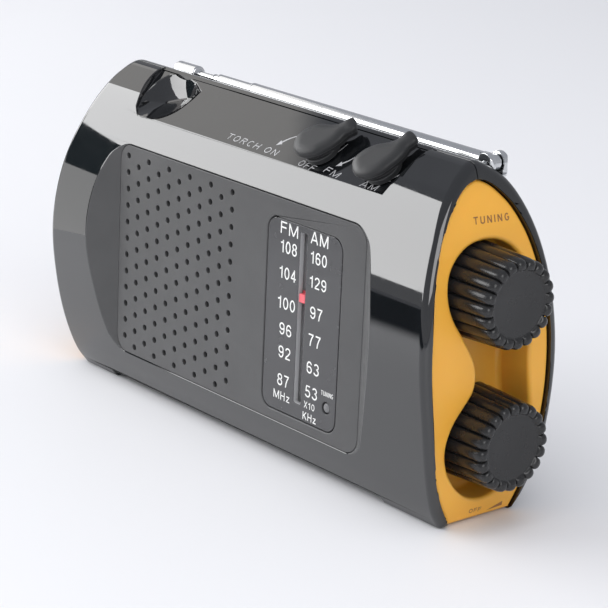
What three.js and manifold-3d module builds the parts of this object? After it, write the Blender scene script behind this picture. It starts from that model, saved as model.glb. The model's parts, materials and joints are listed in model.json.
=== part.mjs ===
// Portable emergency radio with a crank generator, a torch and a telescopic aerial.
// Millimetres. +X runs along the case to the knob end, -Y is the dial side, +Z is up.
// The group's origin is under the middle of the object's bounding box, on the table.
import * as THREE from "three";
import { mergeVertices } from "three/addons/utils/BufferGeometryUtils.js";
import Module from "manifold-3d";

const wasm = await Module();
wasm.setup();

// ---------------------------------------------------------------- driving dimensions
const SHIFT = { x: -4.36, y: 0.65 }; // moves the case to centre the bounding box
const HEIGHT = 95.2; // crest of the case above the feet
const END = { x: 86.7, z: 33.4, radius: 174 }; // fullest point and radius of the bulged ends
const WALL = 2.4;
const PARTING = 0.15; // half the gap between the two shells at y = 0
const FOOT = 2.5; // relief under the case between the two end feet
const GAP = 0.3; // clearance between neighbouring pieces
const FAR = { x: 95, y: 60, z: 120 }; // reach of sections and cuts beyond the case

// arch section of the case as [y, z], from the front foot over the crest to the rear foot
const ARCH = [
  [-13.4, 0], [-16.6, 4.8], [-19.9, 14.3], [-22.6, 28.6], [-24.0, 47.0], [-21.5, 64.8],
  [-16.3, 78.1], [-10.4, 87.6], [-5.5, 92.4], [0.4, HEIGHT], [7.3, 92.4], [12.4, 87.6],
  [17.6, 78.1], [21.2, 64.8], [22.7, 47.0], [21.4, 28.6], [18.8, 14.3], [15.1, 4.8], [11.9, 0],
];
// outline of the end plates as [y, z]
const PLATE = [
  [-10.6, -1], [-12.2, 2.5], [-15.2, 8], [-17.9, 15], [-20.0, 29], [-21.2, 44], [-20.5, 54],
  [-18.5, 67], [-15.3, 76.2], [-11.8, 82], [-7.6, 87], [-3.6, 89.9], [0.4, 90.8], [4.4, 89.2],
  [7.7, 86.5], [10.9, 83], [14.9, 76], [17.6, 68], [19.8, 54], [20.1, 44], [19.2, 30],
  [16.6, 15], [13.6, 6], [10.4, -1],
];
// wells for the two knobs, joined by a neck, as [y, z]
const WELLS = [
  [0, 75.5], [-5.3, 74.6], [-9.2, 72.4], [-12.2, 69.0], [-13.4, 65.2], [-13.4, 61.0],
  [-12.2, 57.0], [-9.9, 53.0], [-7.4, 48.6], [-5.6, 44.4], [-5.2, 40.4], [-6.2, 36.8],
  [-8.9, 33.6], [-12.0, 30.0], [-14.0, 26.0], [-14.6, 21.6], [-13.6, 17.2], [-11.4, 13.2],
  [-8.2, 9.6], [-4.3, 7.0], [0.3, 6.0], [4.9, 7.0], [8.8, 9.6], [12.0, 13.4], [13.9, 17.6],
  [14.6, 22.4], [14.2, 28.0], [13.4, 34.0], [13.0, 40.0], [13.2, 47.0], [13.6, 54.0],
  [13.8, 60.0], [13.6, 64.6], [12.2, 69.2], [9.2, 72.6], [5.3, 74.7],
];
const WELL_X = 73.8; // floor of the knob wells

// grille panel: flat, leaning back, let into the bulging front
const PANEL_LEAN = 1.65; // degrees from upright
const PANEL_Y = -19.6; // its front plane at z = 0
const PANEL = { x0: -57.6, x1: 55.1, z0: 12.6, z1: 75.7, radius: 5, thick: 2.2 };
const LEDGE = 2.2; // width of the ledge behind the panel and of the rim round it
const FLARE = 1.5; // spread of the recess's side walls per mm of height above the panel
const DIAL = { x0: 13.2, x1: 45.5, z0: 15.6, z1: 70.2, radius: 4, thick: 1.6 };
const SLOT = { x: 28.9, width: 3.0, z0: 20.2, z1: 68.2 };
const POINTER_Z = 49.9; // pointer at rest, near the middle of the scale
const LED = { x: 41.3, z: 22.4 };
const HOLES = {
  x: -53.5, z: 72.4, pitchX: 5.03, pitchZ: 4.99, columns: 11, rows: 12, radius: 0.78,
};
const SPEAKER = { x: HOLES.x + 5 * HOLES.pitchX, z: 43.9 };

// end controls, on shafts along X at y = 0
const KNOB = { x0: 76.4, x1: 95.4, innerRadius: 12.9, outerRadius: 12.0, lobes: 20 };
const TUNING_Z = 61.9;
const VOLUME_Z = 23.4;
const SHAFT = { radius: 2.4, clearance: 2.7, end: 89.5 };
const DRUM = { x: 38, radius: 7 }; // cord drum on the tuning shaft
// posts that carry the dial cord: depth behind the panel plane, heights up the panel
const POST = { depth: 7.0, radius: 2.4, bottom: 19.0, top: 69.5 };

// flat control strip near the crest, and its levers: x along it, up the slope, turn in degrees
const STRIP = { y: -13.2, z: 83.72, tilt: 39 };
const LEVERS = [
  { name: "torch", x: 24.6, up: 7.2, turn: -39 },
  { name: "band", x: 49.8, up: 7.2, turn: -23 },
];
// outlines on the strip as [x, up]
const STRIP_OUTLINE = [
  [54.4, 0], [56.7, 6.1], [59.0, 17], [59.4, 19], [-60.6, 19],
  [-61, 13.2], [-59.3, 7], [-55.4, 0], [-55.0, -1.5], [54.2, -1.5],
];
const SCOOP = [
  [-55.2, 0.9], [-50.5, 0.2], [-45, 1.4], [-40.8, 5.6], [-39.4, 10.2], [-40.4, 16],
  [-46, 16.4], [-52, 16.4], [-57, 16.0], [-59, 11], [-57.6, 5],
];
// lever outline about its pivot, closed
const LEVER_OUTLINE = [
  [0, -7.0], [3.9, -5.2], [6.1, -1.2], [5.9, 2.8], [4.2, 6.2], [2.7, 8.4], [2.7, 10.2],
  [2.2, 11.4], [-2.2, 11.4], [-2.7, 10.2], [-2.4, 8.0], [-3.0, 5.4], [-4.7, 2.2],
  [-5.8, -1.6], [-4.9, -5.2], [0, -7.0],
];

const AERIAL = { x: 72.4, y: 9.4, z: 92.95 }; // hinge; the folded tubes run to -X from it
const TORCH = { y: -0.4, z: 46 };

// crank and gears, all on axes along Y; handleY is the middle of the folded grip
const CRANK = { x: -12, z: 45, dish: 36, floor: 14.5, grip: 29.5, handleY: 18.7 };
const MODULE = 1; // pitch diameter of a gear per tooth
const WHEEL = 28; // teeth
const PINION = 10;
const GEAR_SPAN = (MODULE * (WHEEL + PINION)) / 2;
const IDLER = { x: CRANK.x + GEAR_SPAN, z: CRANK.z };
const DYNAMO_ANGLE = -Math.PI / 4; // direction of the dynamo from the idler
const DYNAMO = {
  x: IDLER.x + GEAR_SPAN * Math.cos(DYNAMO_ANGLE),
  z: IDLER.z + GEAR_SPAN * Math.sin(DYNAMO_ANGLE),
};

const BATTERY = { x0: -60, x1: -12, y: 11.6, z: 10.9 }; // y is half the opening's width
const SCREWS = [[-68, 79], [61, 81], [-68, 12.4], [66, 11.6]]; // [x, z]

// ---------------------------------------------------------------- outlines
const rad = THREE.MathUtils.degToRad;
const vectors = (points) => points.map(([x, y]) => new THREE.Vector2(x, y));
const rect = (x0, x1, y0, y1) => [[x0, y0], [x1, y0], [x1, y1], [x0, y1]];
const circle = (x, y, radius, sides, phase = 0) =>
  Array.from({ length: sides }, (_, i) => [
    x + radius * Math.cos(phase + (2 * Math.PI * i) / sides),
    y + radius * Math.sin(phase + (2 * Math.PI * i) / sides),
  ]);

function rounded(x0, x1, z0, z1, radius, steps = 4) {
  const corners = [
    [x1 - radius, z0 + radius, -90],
    [x1 - radius, z1 - radius, 0],
    [x0 + radius, z1 - radius, 90],
    [x0 + radius, z0 + radius, 180],
  ];
  return corners.flatMap(([x, z, start]) =>
    Array.from({ length: steps + 1 }, (_, i) => {
      const angle = rad(start + (90 * i) / steps);
      return [x + radius * Math.cos(angle), z + radius * Math.sin(angle)];
    }),
  );
}
// rounded rectangle from a table of its sides, grown outwards all round
const grown = ({ x0, x1, z0, z1 }, by, radius) =>
  rounded(x0 - by, x1 + by, z0 - by, z1 + by, radius);

// ring of teeth or lobes; corners are [offset in pitches, radius]
function toothed(count, corners, phase = 0, x = 0, z = 0) {
  const points = [];
  for (let i = 0; i < count; i++)
    for (const [offset, radius] of corners) {
      const angle = phase + (2 * Math.PI * (i + offset)) / count;
      points.push([x + radius * Math.cos(angle), z + radius * Math.sin(angle)]);
    }
  return points;
}

// moves each edge of an outline inwards by a distance
function inset(points, distance) {
  const outline = THREE.ShapeUtils.area(vectors(points)) > 0 ? points : points.slice().reverse();
  const count = outline.length;
  return outline.map(([x, y], i) => {
    const before = outline[(i + count - 1) % count];
    const after = outline[(i + 1) % count];
    const edge1 = new THREE.Vector2(x - before[0], y - before[1]).normalize();
    const edge2 = new THREE.Vector2(after[0] - x, after[1] - y).normalize();
    const reach = distance / (1 + edge1.dot(edge2));
    return [x - (edge1.y + edge2.y) * reach, y + (edge1.x + edge2.x) * reach];
  });
}

function smooth(points, steps) {
  const through = points.map(([x, y]) => new THREE.Vector3(x, y, 0));
  const curve = new THREE.CatmullRomCurve3(through, false, "centripetal");
  return curve.getSpacedPoints(steps).map((point) => [point.x, point.y]);
}

function hull(points) {
  const sorted = points.slice().sort((p, q) => p[0] - q[0] || p[1] - q[1]);
  const cross = (o, p, q) => (p[0] - o[0]) * (q[1] - o[1]) - (p[1] - o[1]) * (q[0] - o[0]);
  const half = (source) => {
    const chain = [];
    for (const point of source) {
      while (chain.length > 1 && cross(chain.at(-2), chain.at(-1), point) <= 0) chain.pop();
      chain.push(point);
    }
    chain.pop();
    return chain;
  };
  return half(sorted).concat(half(sorted.slice().reverse()));
}

// ---------------------------------------------------------------- solids
const basis = (x, y, z, origin = [0, 0, 0]) =>
  new THREE.Matrix4()
    .makeBasis(new THREE.Vector3(...x), new THREE.Vector3(...y), new THREE.Vector3(...z))
    .setPosition(...origin);

// closed three.js geometry, moved by a matrix, as a solid
function solid(geometry, matrix) {
  const source = geometry.index ? geometry.toNonIndexed() : geometry;
  const bare = new THREE.BufferGeometry()
    .setAttribute("position", source.getAttribute("position"))
    .applyMatrix4(matrix);
  const merged = mergeVertices(bare, 1e-4);
  const vertProperties = merged.attributes.position.array;
  const triVerts = new Uint32Array(merged.index.array);
  const make = () =>
    new wasm.Manifold(new wasm.Mesh({ numProp: 3, vertProperties, triVerts }));
  const result = make();
  if (result.volume() >= 0) return result;
  // inside out: turn every triangle over
  for (let i = 0; i < triVerts.length; i += 3)
    [triVerts[i + 1], triVerts[i + 2]] = [triVerts[i + 2], triVerts[i + 1]];
  return make();
}

function extrusion(points, depth, holes = []) {
  const shape = new THREE.Shape(vectors(points));
  shape.holes = holes.map((hole) => new THREE.Path(vectors(hole).reverse()));
  return new THREE.ExtrudeGeometry(shape, {
    depth,
    bevelEnabled: false,
    steps: 1,
    curveSegments: 1,
  });
}

// matrices that lay an extrusion along an axis: X from x0, Y ending at y1, Z from z0
const alongX = (x0, y = 0, z = 0) => basis([0, 1, 0], [0, 0, 1], [1, 0, 0], [x0, y, z]);
const alongY = (y1) => basis([1, 0, 0], [0, 0, 1], [0, -1, 0], [0, y1, 0]);
const alongZ = (z0) => new THREE.Matrix4().setPosition(0, 0, z0);

const prismX = (points, x0, x1) => solid(extrusion(points, x1 - x0), alongX(x0));
const prismY = (points, y0, y1) => solid(extrusion(points, y1 - y0), alongY(y1));
const prismZ = (points, z0, z1) => solid(extrusion(points, z1 - z0), alongZ(z0));
const box = (x0, x1, y0, y1, z0, z1) => prismZ(rect(x0, x1, y0, y1), z0, z1);
const rodX = (y, z, radius, x0, x1, sides) => prismX(circle(y, z, radius, sides), x0, x1);
const rodY = (x, z, radius, y0, y1, sides) => prismY(circle(x, z, radius, sides), y0, y1);
const rodZ = (x, y, radius, z0, z1, sides) => prismZ(circle(x, y, radius, sides), z0, z1);

// solid of revolution: profile [[axial, radius], ...] from axis to axis, or a closed ring
const revolve = (profile, sides, matrix) =>
  solid(new THREE.LatheGeometry(vectors(profile.map(([x, r]) => [r, x])), sides), matrix);
const revolveX = (profile, y, z, sides) =>
  revolve(profile, sides, basis([0, 1, 0], [1, 0, 0], [0, 0, -1], [0, y, z]));

const union = (solids) => solids.reduce((whole, part) => whole.add(part));

// frame fixed to the grille panel: x along the case, y into the case, z up the panel
const lean = rad(PANEL_LEAN);
const panelFrame = basis(
  [1, 0, 0],
  [0, Math.cos(lean), -Math.sin(lean)],
  [0, Math.sin(lean), Math.cos(lean)],
  [0, PANEL_Y, 0],
);
const inPanel = (matrix) => panelFrame.clone().multiply(matrix);
const onPanel = (points, depth0, depth1, holes) =>
  solid(extrusion(points, depth1 - depth0, holes), inPanel(alongY(depth1)));
// section [depth, height] in the plane across the panel, extruded along x
const acrossPanel = (points, x0, x1) =>
  solid(extrusion(points, x1 - x0), inPanel(alongX(x0)));

// frame fixed to the control strip: x along the case, y up the slope, z out of it
const tilt = rad(STRIP.tilt);
const stripFrame = basis(
  [1, 0, 0],
  [0, Math.cos(tilt), Math.sin(tilt)],
  [0, -Math.sin(tilt), Math.cos(tilt)],
  [0, STRIP.y, STRIP.z],
);
const onStrip = (points, height0, height1) =>
  solid(extrusion(points, height1 - height0), stripFrame.clone().multiply(alongZ(height0)));

// ---------------------------------------------------------------- materials and meshes
const FINISH = {
  gloss: { color: 0x0c0d0f, roughness: 0.12 },
  matte: { color: 0x2c2e31, roughness: 0.6 },
  knob: { color: 0x17181a, roughness: 0.42 },
  amber: { color: 0xf0a21c, roughness: 0.4 },
  chrome: { color: 0xe6e8ea, roughness: 0.08, metalness: 1 },
  steel: { color: 0x9b9ea3, roughness: 0.35, metalness: 1 },
  brass: { color: 0xb9975b, roughness: 0.35, metalness: 1 },
  red: { color: 0xd8232a, roughness: 0.4 },
  grey: { color: 0x8d8f92, roughness: 0.5 },
  white: { color: 0xe4e2dc, roughness: 0.5 },
  board: { color: 0x1f5a34, roughness: 0.5 },
  paper: { color: 0x2b2722, roughness: 0.9 },
  ferrite: { color: 0x33353a, roughness: 0.7 },
  clear: { color: 0xdfe9ee, roughness: 0.05, transparent: true, opacity: 0.35 },
  label: { color: 0x3a6ea5, roughness: 0.4, metalness: 0.2 },
};
const root = new THREE.Group();
root.position.set(SHIFT.x, SHIFT.y, 0);

function add(name, piece, finish) {
  const { vertProperties, triVerts } = piece.getMesh();
  const geometry = new THREE.BufferGeometry()
    .setAttribute("position", new THREE.BufferAttribute(new Float32Array(vertProperties), 3))
    .setIndex(new THREE.BufferAttribute(new Uint32Array(triVerts), 1));
  geometry.computeVertexNormals();
  const mesh = new THREE.Mesh(geometry, new THREE.MeshStandardMaterial(FINISH[finish]));
  mesh.name = name;
  root.add(mesh);
}

// ---------------------------------------------------------------- case envelope
// everything between the bulged ends, moved inwards by a depth
function barrel(depth) {
  const right = [];
  const left = [];
  for (let i = 0; i <= 8; i++) {
    const z = -4 + 13.5 * i;
    const x = END.x - (z - END.z) ** 2 / (2 * END.radius) - depth;
    right.push([x, z]);
    left.unshift([-x, z]);
  }
  return prismY(right.concat(left), -FAR.y, FAR.y);
}
const fullLength = (points, x0 = -FAR.x) => prismX(points, x0, FAR.x);
// layer of a section that lies between two depths below the bulged ends
const endLayer = (points, depth0, depth1, x0) =>
  fullLength(points, x0).intersect(barrel(depth0)).subtract(barrel(depth1));
// everything between two heights, and optionally between two y planes
const slab = (z0, z1 = FAR.z, y0 = -FAR.y, y1 = FAR.y) => box(-100, 100, y0, y1, z0, z1);

const arch = smooth(ARCH, 30);
const outer = fullLength(arch).intersect(barrel(0));
// room for the end plates and for the lips round them
const seats = fullLength(PLATE)
  .subtract(barrel(5.2))
  .add(endLayer(inset(PLATE, -1.3), 2.7, 4.6));
const cavity = fullLength(inset(arch, WALL))
  .intersect(barrel(9))
  .add(fullLength(PLATE))
  .intersect(slab(5))
  .add(seats);
const shell = outer.subtract(cavity);
const footRelief = box(-66, 60, -FAR.y, FAR.y, -5, FOOT);
const batteryHole = box(BATTERY.x0, BATTERY.x1, -BATTERY.y, BATTERY.y, -1, 8);
const atScrews = (radius, y0, y1, sides) =>
  union(SCREWS.map(([x, z]) => rodY(x, z, radius, y0, y1, sides)));

// recess in front of the panel, widening sideways towards the bulging front
function flared(points, depth, extra) {
  const { x0, x1, radius } = PANEL;
  const clamp = (value) => THREE.MathUtils.clamp(value, 0, 1);
  const geometry = extrusion(points, depth);
  const position = geometry.getAttribute("position");
  for (let i = 0; i < position.count; i++) {
    const x = position.getX(i);
    // 1 at the right side, -1 at the left, fading to 0 over the corner radius
    const side = clamp((x - x1 + radius) / radius) - clamp((x0 + radius - x) / radius);
    position.setX(i, x + side * (FLARE * position.getZ(i) + extra));
  }
  return solid(geometry, inPanel(alongY(0)));
}

// ---------------------------------------------------------------- front shell
function frontShell() {
  const panelHole = grown(PANEL, 0, PANEL.radius);
  const panelLedge = grown(PANEL, -LEDGE, PANEL.radius - 1.5);
  const panelRim = grown(PANEL, LEDGE, PANEL.radius + 2);
  const stripRim = STRIP_OUTLINE.map(([x, up]) => [x + Math.sign(x) * 1.2, up]);
  const leverHoles = union(LEVERS.map(({ x, up }) => onStrip(circle(x, up, 2.6, 16), -6, 2)));
  const backing = union([
    onPanel(panelRim, -8, 6.4),
    flared(panelRim, 8, 2),
    onStrip(stripRim, -2.4, 3),
    onStrip(inset(SCOOP, -1.6), -4.6, 0),
    atScrews(3.4, -30, 0, 8),
  ]);
  return shell
    .add(backing.intersect(outer))
    .subtract(onPanel(panelHole, -0.2, PANEL.thick + GAP))
    .subtract(flared(panelHole, 10, 0))
    .subtract(onPanel(panelLedge, -12, 9))
    .subtract(onStrip(STRIP_OUTLINE, 0, 9))
    .subtract(onStrip(SCOOP, -2.4, 1))
    .subtract(leverHoles)
    .subtract(atScrews(1.5, -12, 1, 8))
    .subtract(seats)
    .subtract(footRelief)
    .subtract(batteryHole)
    .intersect(slab(-5, FAR.z, -FAR.y, -PARTING));
}
add("front_shell", frontShell(), "gloss");

// ---------------------------------------------------------------- rear shell
function rearShell() {
  const { x, y, z } = AERIAL;
  const backing = union([
    rodY(CRANK.x, CRANK.z, CRANK.dish + 2.2, CRANK.floor - 2.2, 40, 36),
    rodZ(x, y, 4.2, 82, 100, 16),
    atScrews(4.2, 0, 30, 10),
    rodX(y, z, 4.8, -84, 72, 14),
  ]);
  return shell
    .add(backing.intersect(outer))
    // crank dish and shaft hole
    .subtract(rodY(CRANK.x, CRANK.z, CRANK.dish, CRANK.floor, 60, 36))
    .subtract(rodY(CRANK.x, CRANK.z, 3.4, 0, 60, 20))
    // aerial groove, hinge seat, stem hole and room for the nut
    .subtract(rodX(y, z, 2.75, -95, 72, 14))
    .subtract(rodZ(x, y, 4.1, 89.35, 120, 20))
    .subtract(rodZ(x, y, 2.2, 70, 120, 12))
    .subtract(rodZ(x, y, 4.6, 74, 82, 12))
    .subtract(onStrip(STRIP_OUTLINE, 0, 9))
    // screw holes and counterbores
    .subtract(atScrews(1.5, -1, 40, 8))
    .subtract(atScrews(3.1, 5, 60, 12))
    .subtract(seats)
    .subtract(footRelief)
    .subtract(batteryHole)
    .intersect(slab(-5, FAR.z, PARTING, FAR.y));
}
add("rear_shell", rearShell(), "gloss");

// ---------------------------------------------------------------- end plates
// skin at the +X end with a wider lip behind it
const plateBody = endLayer(inset(PLATE, GAP), 1.0, 3.4, 0)
  .add(endLayer(inset(PLATE, -0.9), 3.0, 4.2, 0).intersect(slab(3.2, 76)))
  .intersect(slab(0.6));

function knobEndPlate() {
  const wellWall = prismX(inset(WELLS, -1.5), WELL_X - 1.8, FAR.x)
    .intersect(barrel(2))
    .intersect(slab(5.4));
  return plateBody
    .add(wellWall)
    .subtract(prismX(WELLS, WELL_X, 99))
    .subtract(rodX(0, TUNING_Z, 3.3, 60, 80, 16))
    .subtract(rodX(0, VOLUME_Z, 3.3, 60, 80, 16));
}
add("knob_end_plate", knobEndPlate(), "amber");

// the torch end is the same plate mirrored, with a round opening instead of the wells
const torchOpening = rodX(TORCH.y, TORCH.z, 17.6, -100, -60, 24);
add("torch_end_plate", plateBody.mirror([1, 0, 0]).subtract(torchOpening), "amber");

// ---------------------------------------------------------------- torch
// profiles as [x, radius]
const BEZEL = [
  [-86.6, 16.0], [-86.6, 17.6], [-85.7, 19.4], [-85.7, 17.3],
  [-78.5, 17.3], [-78.5, 16.0], [-86.6, 16.0],
];
const LENS = [[-84.6, 0], [-84.2, 8], [-83.2, 15.6], [-82.4, 15.6], [-82.4, 0]];
const REFLECTOR = [
  [-81.8, 15.6], [-81.0, 15.6], [-74.5, 12.2], [-69.5, 8.0], [-66.8, 4.2], [-66.8, 3.2],
  [-69.6, 6.6], [-74.8, 10.8], [-81.2, 14.2], [-81.8, 14.2], [-81.8, 15.6],
];
const TORCH_LED = [
  [-70.8, 0], [-70.2, 1.8], [-69.0, 2.4], [-65.6, 2.4], [-65.6, 7.0], [-64.2, 7.0], [-64.2, 0],
];
for (const [name, profile, sides, finish] of [
  ["torch_bezel", BEZEL, 24, "matte"],
  ["torch_lens", LENS, 16, "clear"],
  ["torch_reflector", REFLECTOR, 18, "chrome"],
  ["torch_led", TORCH_LED, 16, "white"],
])
  add(name, revolveX(profile, TORCH.y, TORCH.z, sides), finish);

// ---------------------------------------------------------------- grille panel and dial
function frontPanel() {
  const holes = [];
  for (let column = 0; column < HOLES.columns; column++)
    for (let row = 0; row < HOLES.rows; row++) {
      const x = HOLES.x + column * HOLES.pitchX;
      // odd columns are staggered by half a pitch
      const z = HOLES.z - (row + (column % 2 ? 0.5 : 0)) * HOLES.pitchZ;
      holes.push(circle(x, z, HOLES.radius, 4, Math.PI / 2));
    }
  holes.push(grown(DIAL, 0, DIAL.radius));
  return onPanel(grown(PANEL, -GAP, PANEL.radius - GAP), 0, PANEL.thick, holes);
}
add("front_panel", frontPanel(), "matte");

function dialPlate() {
  const { x, width, z0, z1 } = SLOT;
  return onPanel(grown(DIAL, -GAP, DIAL.radius - GAP), 0.1, DIAL.thick)
    .subtract(onPanel(rounded(x - width / 2, x + width / 2, z0, z1, 0.5, 1), -1, 4))
    .subtract(onPanel(circle(LED.x, LED.z, 1.75, 12), -1, 4));
}
add("dial_plate", dialPlate(), "matte");
add("tuning_led", onPanel(circle(LED.x, LED.z, 1.4, 12), 0.1, 3.2), "red");

// light strip behind the slot, with an arm and a cord post at each end
function dialBacking() {
  const x0 = 24;
  const parts = [onPanel(rect(x0, 33, 16.4, 71.6), 3.2, 4.2)];
  for (const [height, side] of [[POST.top, 1], [POST.bottom, -1]]) {
    const arm = rect(x0, DRUM.x - 2, height - 1.5 * side, height + 2.1 * side);
    const post = circle(POST.depth, height, POST.radius, 12);
    parts.push(onPanel(arm, 3.2, 8.4), acrossPanel(post, DRUM.x - 2.6, DRUM.x + 2));
  }
  return union(parts);
}
add("dial_backing", dialBacking(), "grey");

function dialCord() {
  // place of the tuning shaft in the panel frame
  const depth = -PANEL_Y * Math.cos(lean) - TUNING_Z * Math.sin(lean);
  const height = -PANEL_Y * Math.sin(lean) + TUNING_Z * Math.cos(lean);
  const loop = (offset) =>
    hull([
      ...circle(POST.depth, POST.top, POST.radius + offset, 12),
      ...circle(POST.depth, POST.bottom, POST.radius + offset, 12),
      ...circle(depth, height, DRUM.radius + offset, 20),
    ]);
  return acrossPanel(loop(0.95), DRUM.x - 0.4, DRUM.x + 0.4)
    .subtract(acrossPanel(loop(0.35), DRUM.x - 1, DRUM.x + 1));
}
add("dial_cord", dialCord(), "white");

// red finger in the slot, on a flat bar with a tab beside the cord's front run
function dialPointer() {
  const bar = (x0, x1, half, depth0, depth1) =>
    onPanel(rect(x0, x1, POINTER_Z - half, POINTER_Z + half), depth0, depth1);
  const end = DRUM.x + 1.6;
  return bar(SLOT.x - 1.2, SLOT.x + 1.2, 1.2, 0.3, 2.4)
    .add(bar(SLOT.x - 2.2, end, 1.6, 1.95, 2.8))
    .add(bar(DRUM.x + 0.7, end, 1.6, 2.2, 4.3));
}
add("dial_pointer", dialPointer(), "red");

// ---------------------------------------------------------------- tuning and volume
function knob(z) {
  const { x0, x1, innerRadius, outerRadius, lobes } = KNOB;
  const lobe = [[-0.5, 0.925 * outerRadius], [-0.2, outerRadius], [0.2, outerRadius]];
  const geometry = extrusion(toothed(lobes, lobe), x1 - x0);
  const position = geometry.getAttribute("position");
  for (let i = 0; i < position.count; i++) {
    // widens from the outer face towards the case
    const share = 1 - position.getZ(i) / (x1 - x0);
    const scale = 1 + (innerRadius / outerRadius - 1) * share;
    position.setXY(i, position.getX(i) * scale, position.getY(i) * scale);
  }
  const faceDish = [[x1 - 0.5, 0], [x1 - 0.3, 6], [x1 + 0.6, 9.6], [x1 + 2, 9.6], [x1 + 2, 0]];
  const hollow = [[x0 - 1, 5], [x0 - 1, 10.6], [x0 + 13, 10.0], [x0 + 13, 5], [x0 - 1, 5]];
  return solid(geometry, alongX(x0, 0, z))
    .subtract(revolveX(faceDish, 0, z, 16))
    .subtract(rodX(0, z, 2.8, 70, 90, 12))
    .subtract(revolveX(hollow, 0, z, 14));
}
add("tuning_knob", knob(TUNING_Z), "knob");
add("volume_knob", knob(VOLUME_Z), "knob");
add("tuning_shaft", rodX(0, TUNING_Z, SHAFT.radius, 28.5, SHAFT.end, 14), "brass");
add("volume_shaft", rodX(0, VOLUME_Z, SHAFT.radius, 64, SHAFT.end, 14), "brass");

function tuningDrum() {
  const { x, radius } = DRUM;
  const bore = SHAFT.clearance;
  const flange = radius + 1.2;
  const profile = [
    [x - 1.6, bore], [x - 1.6, flange], [x - 0.9, flange], [x - 0.7, radius],
    [x + 0.7, radius], [x + 0.9, flange], [x + 1.6, flange], [x + 1.6, bore], [x - 1.6, bore],
  ];
  return revolveX(profile, 0, TUNING_Z, 18);
}
add("tuning_drum", tuningDrum(), "white");
add(
  "tuning_capacitor",
  box(22.3, 34, -8, 8, TUNING_Z - 8, TUNING_Z + 8)
    .subtract(rodX(0, TUNING_Z, SHAFT.clearance, 28, 40, 14)),
  "white",
);
add(
  "volume_pot",
  rodX(0, VOLUME_Z, 7, 60, 70, 24).subtract(rodX(0, VOLUME_Z, SHAFT.clearance, 63.6, 80, 14)),
  "steel",
);
add("main_board", box(43, 69, 9.2, 10.8, 19, 72), "board");

// ---------------------------------------------------------------- selector levers and switches
const leverOutline = smooth(LEVER_OUTLINE, 30).slice(0, -1);
function lever({ x, up, turn }) {
  const cos = Math.cos(rad(turn));
  const sin = Math.sin(rad(turn));
  const turned = leverOutline.map(([a, b]) => [x + a * cos - b * sin, up + a * sin + b * cos]);
  return onStrip(turned, 1.0, 5.4)
    .add(onStrip(circle(x, up, 5.2, 16), 0.35, 2))
    .add(onStrip(circle(x, up, 2.2, 14), -7.0, 2));
}
const leverSwitch = ({ x, up }) =>
  onStrip(rect(x - 6, x + 6, up - 5, up + 5), -8.4, -3.0)
    .subtract(onStrip(circle(x, up, 2.6, 14), -7.4, 0));
for (const place of LEVERS) add(place.name + "_lever", lever(place), "matte");
for (const place of LEVERS) add(place.name + "_switch", leverSwitch(place), "paper");

// ---------------------------------------------------------------- loudspeaker behind the grille
// profiles as [depth behind the panel plane, radius]
const SPEAKER_FRAME = [
  [2.8, 21.4], [2.8, 24.2], [4.6, 24.2], [5.4, 21.6], [10.6, 13.2], [12.4, 13.2], [12.4, 6.4],
  [11.4, 6.4], [11.4, 12.0], [10.0, 12.0], [4.6, 20.4], [3.8, 21.4], [2.8, 21.4],
];
const SPEAKER_CONE = [
  [3.2, 20.6], [3.8, 20.2], [9.6, 10.6], [10.6, 5.4], [10.6, 0], [8.6, 0], [7.0, 5.6],
  [8.6, 6.4], [8.4, 10.0], [3.2, 19.6], [3.2, 20.6],
];
const SPEAKER_MAGNET = [[12.8, 0], [12.8, 11.6], [17.4, 11.6], [17.4, 0]];
const speakerFrame = inPanel(new THREE.Matrix4().setPosition(SPEAKER.x, 0, SPEAKER.z));
add("speaker_frame", revolve(SPEAKER_FRAME, 18, speakerFrame), "steel");
add("speaker_cone", revolve(SPEAKER_CONE, 16, speakerFrame), "paper");
add("speaker_magnet", revolve(SPEAKER_MAGNET, 16, speakerFrame), "ferrite");

// ---------------------------------------------------------------- crank
const gripX = CRANK.x + CRANK.grip; // pivot of the folding grip
const pinHole = rodZ(gripX, CRANK.handleY, 1.5, CRANK.z - 10, CRANK.z + 10, 12);

function crankArm() {
  const { x, z, handleY } = CRANK;
  const y0 = CRANK.floor + 0.4;
  return rodY(x, z, 9, y0, handleY + 0.3, 28)
    .add(prismY(rounded(x, gripX + 3.6, z - 7.2, z + 7.2, 3.4), y0, handleY + 2.0))
    .subtract(prismY(rounded(x + 9.4, gripX + 8, z - 4.3, z + 4.3, 0.5, 1), y0 - 1, 40))
    .subtract(pinHole)
    .subtract(rodY(x, z, 2.9, 0, handleY - 1.2, 14));
}

function gripCore() {
  const { z, handleY } = CRANK;
  return rodZ(gripX, handleY, 2.9, z - 3.9, z + 3.9, 18)
    .add(rodX(handleY, z, 1.7, gripX - 19.6, gripX - 1.5, 12))
    .subtract(pinHole);
}

function crankGrip() {
  // profile as [x from the pivot, radius]
  const profile = [
    [-19.8, 0], [-19.8, 2.6], [-18.6, 3.6], [-4.6, 3.6],
    [-3.4, 2.9], [-3.4, 2.0], [-18.0, 2.0], [-18.0, 0],
  ].map(([x, radius]) => [gripX + x, radius]);
  return revolveX(profile, CRANK.handleY, CRANK.z, 20)
    .subtract(rodX(CRANK.handleY, CRANK.z, 2.0, gripX - 19.9, gripX, 12));
}

// ---------------------------------------------------------------- gears and generator
const LOW = [3.4, 6.4]; // y range of the idler wheel and the dynamo pinion
const MESHING = Math.PI + Math.PI / PINION; // turns a pinion's tooth gap towards its wheel

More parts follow.
